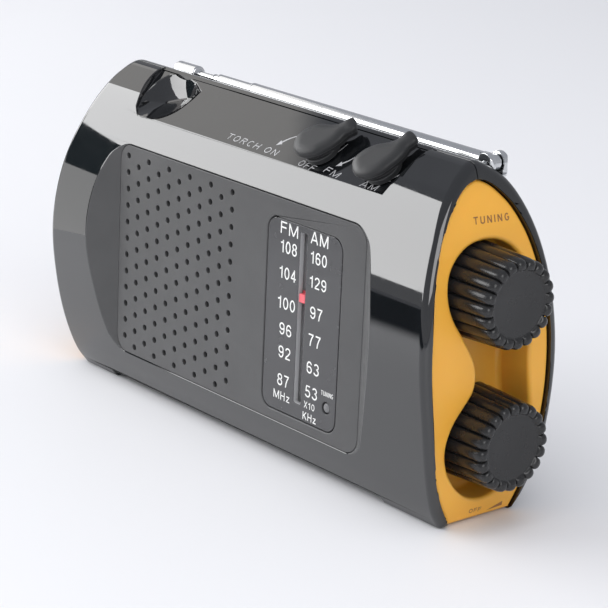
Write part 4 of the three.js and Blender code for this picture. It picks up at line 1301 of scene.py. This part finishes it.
for name, node, profile, n, smooth in (
    ("torch_ring", "torch_bezel", BEZEL, 120, 25),
    ("torch_window", "torch_lens", lens_profile(), 96, 40),
    ("torch_bowl", "torch_reflector", reflector_profile(), 96, 30),
    ("torch_lamp", "torch_led", TORCH_LAMP, 40, 40),
):
    place(turned_x(profile, TORCH_Y, TORCH_Z, n), name, node, smooth=smooth)

# ---------------------------------------------------------------- crank
GRIP_X = CRANK.x + CRANK.grip


def crank_arm():
    x, z, mid = CRANK.x, CRANK.z, CRANK.mid
    back = CRANK.floor + 0.4
    beam = rounded(x, GRIP_X + 3.6, z - 7.2, z + 7.2, 3.4, 8)
    notch = rounded(x + 9.4, GRIP_X + 8, z - 4.3, z + 4.3, 0.8, 5)
    s = solid(
        prism_y(circle(x, z, 9, 64), back, mid + 0.3), "+", prism_y(beam, back, mid + 2.0)
    )
    s = solid(
        s, "-", prism_y(notch, back - 1, 40),
        "-", prism_z(circle(GRIP_X, mid, 1.35, 32), z - 10, z + 10),
        "-", prism_y(circle(x, z, 2.75, 32), 0, mid - 1.2),
    )
    tidy(s, 0.01)

    def outer_edge(a, y, b):
        return y > back + 0.5 and math.hypot(a - x - CRANK.grip, y - mid) > 1.8

    def back_edge(a, y, b):
        return abs(y - back) < 0.02 and math.hypot(a - x, b - z) > 3

    bevel(s, 0.6, 4, 50, outer_edge)
    bevel(s, 0.3, 2, 50, back_edge)
    return s


def pin_profile(half, r):
    """a round pin with 0.2 mm chamfers, centred on the crank's height"""
    z = CRANK.z
    return [
        (z - half, 0), (z - half, r - 0.2), (z - half + 0.2, r), (z + half - 0.2, r),
        (z + half, r - 0.2), (z + half, 0),
    ]


def grip_core():
    return solid(
        turned_z(pin_profile(3.9, 2.9), GRIP_X, CRANK.mid, 48),
        "+", prism_x(circle(CRANK.mid, CRANK.z, 1.7, 32), GRIP_X - 19.6, GRIP_X - 1.5),
        "-", prism_z(circle(GRIP_X, CRANK.mid, 1.3, 32), CRANK.z - 10, CRANK.z + 10),
    )


def grip_profile():
    """a sleeve with nine shallow grooves, (x from the hinge, radius)"""
    profile = [(-19.8, 2.0), (-19.8, 2.6), (-19.6, 3.0), (-19.2, 3.35), (-18.6, 3.6)]
    for k in range(9):
        x = -17.4 + 1.35 * k
        profile += [(x, 3.6), (x + 0.2, 3.28), (x + 0.5, 3.28), (x + 0.7, 3.6)]
    profile += [(-4.6, 3.6), (-3.8, 3.35), (-3.4, 2.9), (-3.4, 2.0)]
    return [(GRIP_X + x, r) for x, r in profile]


place(crank_arm(), "crank_handle_arm", "crank_arm")
axle = prism_y(circle(CRANK.x, CRANK.z, 2.6, 48), 4.6, CRANK.mid - 1.6)
place(axle, "crank_axle", "crank_shaft", smooth=40)
hinge = turned_z(pin_profile(7.0, 1.2), GRIP_X, CRANK.mid, 32)
place(hinge, "grip_hinge_pin", "grip_pin", smooth=40)
place(grip_core(), "grip_spindle", "grip_core", smooth=40)
sleeve = turned_x(grip_profile(), CRANK.mid, CRANK.z, 64)
place(sleeve, "grip_sleeve", "crank_grip", smooth=35)


# ---------------------------------------------------------------- aerial
def tube(r, x0, x1, n, lip=0.12):
    """a drawn tube, open with a rolled-in mouth at x0 and closed at x1"""
    bore, plug = r - 0.25, x1 - 1.5
    profile = [
        (x1, 0), (x1, r - 0.1), (x1 - 0.1, r), (x0 + 1.3, r), (x0 + 1.1, r - lip),
        (x0 + 0.75, r - lip), (x0 + 0.55, r), (x0 + 0.12, r), (x0, r - 0.12), (x0, bore),
        (plug, bore), (plug, 0),
    ]
    return turned_x(profile, AERIAL.y, AERIAL.z, n)


def rivet_hole():
    return prism_y(circle(AERIAL.x, AERIAL.z, 1.05, 32), AERIAL.y - 9, AERIAL.y + 9)


def aerial_foot():
    """a turned foot with two cheeks that hold the hinge"""
    x, y, z = AERIAL.x, AERIAL.y, AERIAL.z
    foot = [
        (81.2, 0), (81.2, 1.9), (89.7, 1.9), (89.7, 3.6), (89.8, 3.7), (90.35, 3.7),
        (90.45, 3.6), (90.45, 0),
    ]
    cheeks = ((y - 3.1, y - 1.35), (y + 1.35, y + 3.1))
    steps = []
    for y0, y1 in cheeks:
        steps += ["+", prism_y(circle(x, z, 2.9, 64), y0, y1)]
    for y0, y1 in cheeks:
        steps += ["+", cube(x - 2.4, x + 2.4, y0, y1, 90.0, z)]
    s = solid(
        turned_z(foot, x, y, 64), *steps, "&", prism_z(circle(x, y, 3.75, 96), 60, 120),
        "-", rivet_hole(),
    )
    tidy(s, 0.01)
    bevel(s, 0.18, 2, 50, lambda x, y, z: z > 90.6)
    return s


def first_section():
    """the widest tube, with a flat tongue at the hinge"""
    x, y, z = AERIAL.x, AERIAL.y, AERIAL.z
    return solid(
        tube(2.2, -29.3, 69.0, 64), "+", prism_y(circle(x, z, 2.2, 48), y - 1.0, y + 1.0),
        "+", cube(68.4, x, y - 1.0, y + 1.0, z - 2.1, z + 2.1), "-", rivet_hole(),
    )


# the rod and its tip: (x, radius)
ROD = [
    (-66.4, 0), (-66.35, 0.9), (-66.2, 1.6), (-65.9, 2.1), (-65.4, 2.35), (-56.4, 2.35),
    (-56.1, 2.25), (-55.9, 2.0), (-55.8, 1.5), (-55.3, 1.25), (-54.9, 1.0), (44, 1.0), (44, 0),
]
# the rivet: (along -y from the hinge, radius)
RIVET = [(3.3, 0), (3.3, 0.75), (3.12, 0.95), (-3.12, 0.95), (-3.3, 0.75), (-3.3, 0)]

place(aerial_foot(), "aerial_knuckle", "aerial_base")
place(first_section(), "aerial_section_1", "aerial_tube_1")
place(tube(1.8, -45.5, 52, 56), "aerial_section_2", "aerial_tube_2")
place(tube(1.4, -48.0, 48, 48, lip=0.1), "aerial_section_3", "aerial_tube_3")
rod = turned_x(ROD, AERIAL.y, AERIAL.z, 56)
place(rod, "aerial_section_4", "aerial_rod", smooth=35)
rivet = revolve(
    [(a - AERIAL.y, r) for a, r in RIVET],
    Matrix.Translation((AERIAL.x, 0, AERIAL.z)) @ ALONG_Y, 32,
)
place(rivet, "aerial_rivet", "aerial_pin", smooth=40)


# ---------------------------------------------------------------- battery door
def door():
    """a plate in the foot with a bar across its inside and three short grooves below"""
    x0, x1, y = BATTERY.x0 + GAP, BATTERY.x1 - GAP, BATTERY.y - GAP
    face = FOOT + 0.1
    s = solid(
        prism_z(rounded(x0, x1, -y, y, 1.0, 6), face, 4.3),
        "+", cube(-39, -33, -BATTERY.y + 3, BATTERY.y - 3, 4.2, 4.9),
    )
    grooves = [
        prism_z(rounded(-19.5 + 1.6 * k, -18.6 + 1.6 * k, -5, 5, 0.4, 4), 0, FOOT + 0.55)
        for k in range(3)
    ]
    s = solid(s, "-", merged(grooves))
    tidy(s, 0.01)

    def border(a, b, z):
        return abs(z - face) < 0.02 and (abs(b) > y - 1.2 or a < x0 + 1.2 or a > x1 - 1.2)

    bevel(s, 0.35, 3, 50, border)
    return s


place(door(), "battery_cover_door", "battery_door")


# ---------------------------------------------------------------- lettering
def arc(x, y, rx, ry, start, end, n=14):
    angles = [math.radians(start + (end - start) * i / n) for i in range(n + 1)]
    return [(x + rx * math.cos(t), y + ry * math.sin(t)) for t in angles]


NINE = [
    arc(0.25, 0.69, 0.19, 0.25, 0, 360, 26),
    arc(0.25, 0.38, 0.19, 0.32, -155, -5) + [(0.44, 0.69)],
]
STEM = [(0.06, 0.0), (0.06, 1.0)]
# each letter's width and strokes, for a height of 1
GLYPHS = {
    "0": (0.5, [arc(0.25, 0.5, 0.19, 0.44, 0, 360, 30)]),
    "1": (0.38, [[(0.27, 0.0), (0.27, 1.0)], [(0.27, 0.90), (0.19, 0.79), (0.04, 0.74)]]),
    "2": (0.5, [
        arc(0.25, 0.71, 0.185, 0.23, 175, -30) + [(0.28, 0.38), (0.13, 0.22), (0.075, 0.06)],
        [(0.03, 0.06), (0.46, 0.06)]]),
    "3": (0.5, [
        arc(0.24, 0.735, 0.175, 0.205, 160, -90), arc(0.24, 0.295, 0.195, 0.235, 90, -165)]),
    "4": (0.5, [
        [(0.35, 0.0), (0.35, 1.0)], [(0.35, 0.93), (0.05, 0.28)], [(0.02, 0.27), (0.49, 0.27)]]),
    "5": (0.5, [
        [(0.43, 0.94), (0.12, 0.94), (0.085, 0.50)] + arc(0.24, 0.32, 0.20, 0.26, 130, -160)]),
    "6": (0.5, [[(0.5 - x, 1 - y) for x, y in line] for line in NINE]),
    "7": (0.5, [
        [(0.03, 0.94), (0.46, 0.94)], [(0.43, 0.94), (0.30, 0.64), (0.22, 0.34), (0.18, 0.0)]]),
    "8": (0.5, [
        arc(0.25, 0.735, 0.165, 0.205, 0, 360, 24), arc(0.25, 0.29, 0.19, 0.235, 0, 360, 26)]),
    "9": (0.5, NINE),
    "F": (0.46, [STEM, [(0.06, 0.94), (0.45, 0.94)], [(0.06, 0.52), (0.41, 0.52)]]),
    "M": (0.68, [
        STEM, [(0.62, 0.0), (0.62, 1.0)], [(0.07, 0.97), (0.34, 0.05)],
        [(0.61, 0.97), (0.34, 0.05)]]),
    "A": (0.58, [
        [(0.04, 0.0), (0.28, 0.98)], [(0.54, 0.0), (0.30, 0.98)], [(0.13, 0.30), (0.46, 0.30)]]),
    "H": (0.54, [STEM, [(0.47, 0.0), (0.47, 1.0)], [(0.06, 0.52), (0.47, 0.52)]]),
    "z": (0.42, [
        [(0.04, 0.64), (0.38, 0.64)], [(0.36, 0.64), (0.06, 0.06)], [(0.03, 0.06), (0.40, 0.06)]]),
    "X": (0.5, [[(0.04, 0.0), (0.46, 1.0)], [(0.46, 0.0), (0.04, 1.0)]]),
    "K": (0.5, [STEM, [(0.45, 1.0), (0.08, 0.40)], [(0.20, 0.56), (0.48, 0.0)]]),
    "T": (0.5, [[(0.01, 0.94), (0.49, 0.94)], [(0.25, 0.0), (0.25, 0.94)]]),
    "U": (0.52, [
        [(0.06, 1.0), (0.06, 0.28)] + arc(0.26, 0.28, 0.20, 0.22, 180, 360) + [(0.46, 1.0)]]),
    "N": (0.54, [STEM, [(0.47, 0.0), (0.47, 1.0)], [(0.07, 0.96), (0.46, 0.04)]]),
    "I": (0.12, [STEM]),
    "G": (0.54, [
        arc(0.27, 0.5, 0.21, 0.44, 48, 335, 26) + [(0.47, 0.46)], [(0.30, 0.46), (0.52, 0.46)]]),
    "O": (0.56, [arc(0.28, 0.5, 0.22, 0.44, 0, 360, 30)]),
    "R": (0.52, [
        STEM,
        [(0.06, 0.94), (0.26, 0.94)] + arc(0.27, 0.73, 0.18, 0.21, 90, -90) + [(0.06, 0.52)],
        [(0.27, 0.52), (0.46, 0.0)]]),
    "C": (0.52, [arc(0.27, 0.5, 0.21, 0.44, 52, 308, 26)]),
}
INK = 0.02  # ink above the surface, and the same below it


def stroke(points, thickness):
    """the two sides of a line of even thickness, and whether it closes on itself"""
    p = np.array(points, float)
    closed = np.linalg.norm(p[0] - p[-1]) < 1e-6 and len(p) > 3
    if closed:
        p = p[:-1]
        along = np.roll(p, -1, axis=0) - np.roll(p, 1, axis=0)
    else:
        along = np.gradient(p, axis=0) if len(p) > 2 else np.repeat((p[1] - p[0])[None], 2, 0)
    across = left(unit(along)) * thickness / 2
    return p + across, p - across, closed


def print_text(text, box, axes, name, node, material, weight, shear=0.0, gap=0.12):
    """a word in even strokes that fills box (x0, x1, y0, y1) on the first two axes"""
    lines = []
    x = 0.0
    for letter in text:
        if letter == " ":
            x += 0.36
            continue
        width, parts = GLYPHS[letter]
        lines += [[(x + a, b) for a, b in part] for part in parts]
        x += width + gap
    x0, x1, y0, y1 = box
    height = y1 - y0
    scale = ((x1 - x0) - shear * height) / (x - gap)
    verts, faces = [], []
    for line in lines:
        points = [(x0 + a * scale + shear * b * height, y0 + b * height) for a, b in line]
        side0, side1, closed = stroke(points, weight * height)
        n = len(side0)
        rails = []
        for side in (side0, side1):
            for h in (-INK, INK):
                rails.append(range(len(verts), len(verts) + n))
                verts += [axes @ Vector((a, b, h)) for a, b in side]
        low0, high0, low1, high1 = rails
        for i in range(n if closed else n - 1):
            j = (i + 1) % n
            for a, b in ((high0, high1), (low1, low0), (low0, high0), (high1, low1)):
                faces.append((a[i], a[j], b[j], b[i]))
        if not closed:
            faces += [(high0[i], high1[i], low1[i], low0[i]) for i in (0, n - 1)]
    place_ink(closed_mesh(verts, faces), name, node, material)


def ribbon(points, name):
    """a curved arrow on the strip, widening towards its head"""
    n, head = 24, 1.5
    p = catmull(points, n)
    along = unit(np.gradient(p, axis=0))
    across = left(along)
    half = np.linspace(0.15, 0.5, n + 1)[:, None] / 2
    tip = p[-1]
    outline = np.vstack([
        p + across * half, [tip + across[-1] * head * 0.55], [tip + along[-1] * head * 1.25],
        [tip - across[-1] * head * 0.55], (p - across * half)[::-1],
    ])
    place_ink(on_strip(outline, -INK, INK), name, "front_shell", "print_strip")


def end_axes(y, z, turn=0.0):
    """axes on the knob end plate at (y, z): along y, up the plate, outwards"""
    slope = (z - END_Z) / END_R
    c = 1 / math.hypot(1, slope)
    axes = basis((0, 1, 0), (-slope * c, 0, c), (c, 0, slope * c), (end_x(z) - 1.0, y, z))
    return axes @ Matrix.Rotation(turn, 4, "Z")


DIAL_WORDS = [
    ("FM", (18.7, 26.5, 66.0, 69.4)), ("108", (19.0, 26.2, 60.8, 64.3)),
    ("104", (18.9, 26.2, 53.6, 57.0)), ("100", (18.7, 26.4, 45.1, 48.5)),
    ("96", (19.9, 25.3, 37.8, 41.2)), ("92", (19.9, 25.3, 31.2, 34.6)),
    ("87", (19.9, 25.2, 23.2, 26.6)), ("MHz", (18.5, 25.7, 19.2, 21.6)),
    ("AM", (31.8, 39.3, 66.2, 69.6)), ("160", (32.0, 39.0, 60.8, 64.2)),
    ("129", (32.0, 39.2, 54.1, 57.4)), ("97", (32.8, 38.2, 45.6, 49.0)),
    ("77", (32.6, 38.0, 37.9, 41.3)), ("63", (32.4, 37.8, 30.1, 33.5)),
    ("53", (32.2, 37.5, 23.2, 26.6)), ("X10", (32.0, 36.6, 20.0, 21.9)),
    ("KHz", (31.6, 37.4, 16.6, 18.8)), ("TUNING", (39.0, 44.2, 25.7, 27.0)),
]
for k, (word, box) in enumerate(DIAL_WORDS):
    name = "dial_print_%02d" % k
    print_text(word, box, PANEL_INK, name, "dial_plate", "print_white", weight=0.125)

# word, and (x, up) on the strip where its base line starts and ends
STRIP_WORDS = [
    ("TORCH ON", (-14.3, 1.7), (9.4, 1.2)), ("OFF", (18.8, 0.8), (26.3, 0.25)),
    ("FM", (29.4, 1.3), (36.4, 0.6)), ("AM", (45.2, 0.7), (52.2, 0.6)),
]
for k, (word, (x0, up0), (x1, up1)) in enumerate(STRIP_WORDS):
    turn = Matrix.Rotation(math.atan2(up1 - up0, x1 - x0), 4, "Z")
    axes = ON_STRIP @ Matrix.Translation((x0, up0, 0)) @ turn
    print_text(
        word, (0, math.hypot(x1 - x0, up1 - up0), 0, 2.05), axes, "strip_print_%02d" % k,
        "front_shell", "print_strip", weight=0.12, shear=0.25, gap=0.16,
    )

STRIP_ARROWS = [
    [(14, 10), (10.9, 9.3), (8.6, 7.6), (7.2, 6.0)], [(30.1, 11.7), (28.9, 8.2), (26.9, 5.9)],
    [(36.6, 9.2), (35.2, 6.9), (33.7, 5.4)], [(57.0, 11.6), (55.6, 8.0), (53.5, 5.4)],
]
for k, points in enumerate(STRIP_ARROWS):
    ribbon(points, "strip_arrow_%d" % k)

print_text(
    "TUNING", (0, 12.2, 0, 1.9), end_axes(-2.9, 79.9, math.radians(-3.0)), "end_print_tuning",
    "knob_end_plate", "print_dark", weight=0.19, gap=0.26,
)
print_text(
    "OFF", (0, 4.4, 0, 1.2), end_axes(-3.9, 2.4, math.radians(-4)), "end_print_off",
    "knob_end_plate", "print_dark", weight=0.17,
)
wedge = prism([(0, 0), (5.4, 0.3), (5.4, 1.5)], -INK, INK, end_axes(2.6, 1.7))
place_ink(wedge, "end_print_wedge", "knob_end_plate", "print_dark")

# the pieces that keep their CAD shape get softened edges
for o in NODES.values():
    if not o.hide_render:
        m = o.modifiers.new("edges", "BEVEL")
        m.width, m.segments = 0.00012, 2
        m.limit_method, m.angle_limit = "ANGLE", math.radians(50)


# ---------------------------------------------------------------- stage, in metres
def sheet(name, corners):
    mesh = bpy.data.meshes.new(name)
    mesh.from_pydata([tuple(c) for c in corners], [], [(0, 1, 2, 3)])
    return new_object(name, mesh)


def floor():
    o = sheet("floor", [(-6, -6, 0), (6, -6, 0), (6, 6, 0), (-6, 6, 0)])
    made = bpy.data.materials.new("floor")
    made.use_nodes = True
    tree = made.node_tree
    surface = tree.nodes["Principled BSDF"]
    surface.inputs["Roughness"].default_value = 0.55
    coords = add_node(tree, "TexCoord").outputs["Object"]
    clouds = noise(tree, coords, Scale=1.5, Detail=2.0)
    colour = mix_colour(tree, clouds, (0.80, 0.80, 0.82, 1), (0.84, 0.84, 0.855, 1))
    tree.links.new(colour, surface.inputs["Base Color"])
    o.data.materials.append(made)


def light(name, direction, distance, size_x, size_y, power):
    """an area light aimed at the middle of the case"""
    towards = Vector(direction).normalized()
    lamp = bpy.data.lights.new(name, "AREA")
    lamp.shape = "RECTANGLE"
    lamp.size, lamp.size_y = size_x, size_y
    lamp.energy = power
    o = new_object(name, lamp)
    o.visible_camera = False
    o.location = TO_FRAME @ Vector((0, 0, 45)) + towards * distance
    o.rotation_euler = towards.to_track_quat("Z", "Y").to_euler()
    return o


def card(name, corners, colour, power, fade_axis, fade_from, fade_to):
    """a glowing card seen only in the gloss, fading out along u (axis 0) or v (axis 1)"""
    o = sheet(name, corners)
    uv = o.data.uv_layers.new(name="UVMap")
    for k, point in enumerate(((0, 0), (1, 0), (1, 1), (0, 1))):
        uv.data[k].uv = point
    made = bpy.data.materials.new(name)
    made.use_nodes = True
    tree = made.node_tree
    tree.nodes.clear()
    glow = add_node(tree, "Emission", {0: (*colour, 1), 1: power})
    coords = add_node(tree, "TexCoord").outputs["UV"]
    across = add_node(tree, "SeparateXYZ", {0: coords}).outputs[fade_axis]
    fade = remap(tree, across, fade_from, fade_to, interpolation_type="SMOOTHSTEP")
    nothing = add_node(tree, "BsdfTransparent")
    mixed = add_node(tree, "MixShader", {0: fade, 1: glow.outputs[0], 2: nothing.outputs[0]})
    add_node(tree, "OutputMaterial", {0: mixed.outputs[0]})
    o.data.materials.append(made)
    for ray in ("camera", "diffuse", "shadow", "transmission", "volume_scatter"):
        setattr(o, "visible_" + ray, False)


def polar(azimuth, elevation):
    """a point 1 m from the upper part of the case"""
    a, e = math.radians(azimuth), math.radians(elevation)
    offset = Vector((math.cos(a) * math.cos(e), math.sin(a) * math.cos(e), math.sin(e)))
    return TO_FRAME @ Vector((0, 0, 85)) + offset


def side_card(name, z0, z1, colour, power):
    """an upright card, in mm, beyond the torch end"""
    corners = [(-202, -136, z0), (-202, -52, z0), (-202, -52, z1), (-202, -136, z1)]
    corners = [TO_FRAME @ Vector(c) for c in corners]
    card(name, corners, colour, power, fade_axis=0, fade_from=0.16, fade_to=0.0)


def table_card():
    """a dark card lying on the table in front of the torch end"""
    away = Vector((-0.755, -0.656, 0))
    across = Vector((-away.y, away.x, 0))
    centre = TO_FRAME @ Vector((0, 0, 0))
    corners = []
    for a, b in ((0.225, -1.2), (0.225, 1.2), (2.6, 2.4), (2.6, -2.4)):
        p = centre + away * a + across * b
        corners.append((p.x, p.y, 0.0015))
    card(
        "card_table", corners, colour=(0.028, 0.034, 0.04), power=1.0, fade_axis=1,
        fade_from=0.06, fade_to=0.0,
    )


floor()
light("softbox_left", (-0.80, -0.45, 0.345), distance=1.3, size_x=1.5, size_y=0.70, power=17)
table_light = light(
    "table_light", (0.25, -0.30, 1.0), distance=1.6, size_x=1.5, size_y=1.5, power=11
)
table_light.visible_glossy = False
light("right_fill", (0.9, -0.35, 0.55), distance=1.6, size_x=0.9, size_y=0.9, power=8)
card(
    "card_strip", [polar(-195, 31.0), polar(-161, 31.0), polar(-161, 43.0), polar(-195, 43.0)],
    colour=(1.0, 0.98, 0.96), power=1.45, fade_axis=1, fade_from=0.66, fade_to=0.79,
)
side_card("card_dark", 72, 120, colour=(0.05, 0.075, 0.085), power=1.0)
side_card("card_low", 2, 72, colour=(1.0, 1.0, 1.0), power=1.7)
table_card()


def world():
    """a pale sky, a little darker and bluer upwards"""
    made = bpy.data.worlds.new("studio")
    bpy.context.scene.world = made
    made.use_nodes = True
    tree = made.node_tree
    background = tree.nodes["Background"]
    background.inputs["Strength"].default_value = 0.66
    coords = add_node(tree, "TexCoord").outputs["Generated"]
    height = add_node(tree, "SeparateXYZ", {0: coords}).outputs[2]
    ramp = add_node(tree, "ValToRGB", {0: height})
    low, high = ramp.color_ramp.elements
    low.position, low.color = 0.0, (0.80, 0.81, 0.85, 1)
    high.position, high.color = 0.62, (0.62, 0.64, 0.70, 1)
    tree.links.new(ramp.outputs[0], background.inputs["Color"])


def camera():
    """looks at the front and the knob end from a little above"""
    azimuth, elevation, roll = math.radians(51.59), math.radians(16.73), math.radians(1.07)
    distance = 696.8  # mm
    back = Vector((
        math.sin(azimuth) * math.cos(elevation), -math.cos(azimuth) * math.cos(elevation),
        math.sin(elevation),
    ))
    level = Vector((math.cos(azimuth), math.sin(azimuth), 0))
    upright = back.cross(level)
    right = math.cos(roll) * level + math.sin(roll) * upright
    up = -math.sin(roll) * level + math.cos(roll) * upright
    lens = bpy.data.cameras.new("camera")
    lens.sensor_width = 36
    lens.lens = 145.985921
    lens.shift_x, lens.shift_y = 0.0267105263, -0.0575164474
    lens.clip_start, lens.clip_end = 0.05, 50
    o = new_object("camera", lens)
    o.matrix_world = basis(right, up, back, TO_FRAME @ (Vector((0, 0, 48)) + back * distance))
    bpy.context.scene.camera = o


world()
camera()
bpy.context.scene.view_settings.view_transform = "Standard"
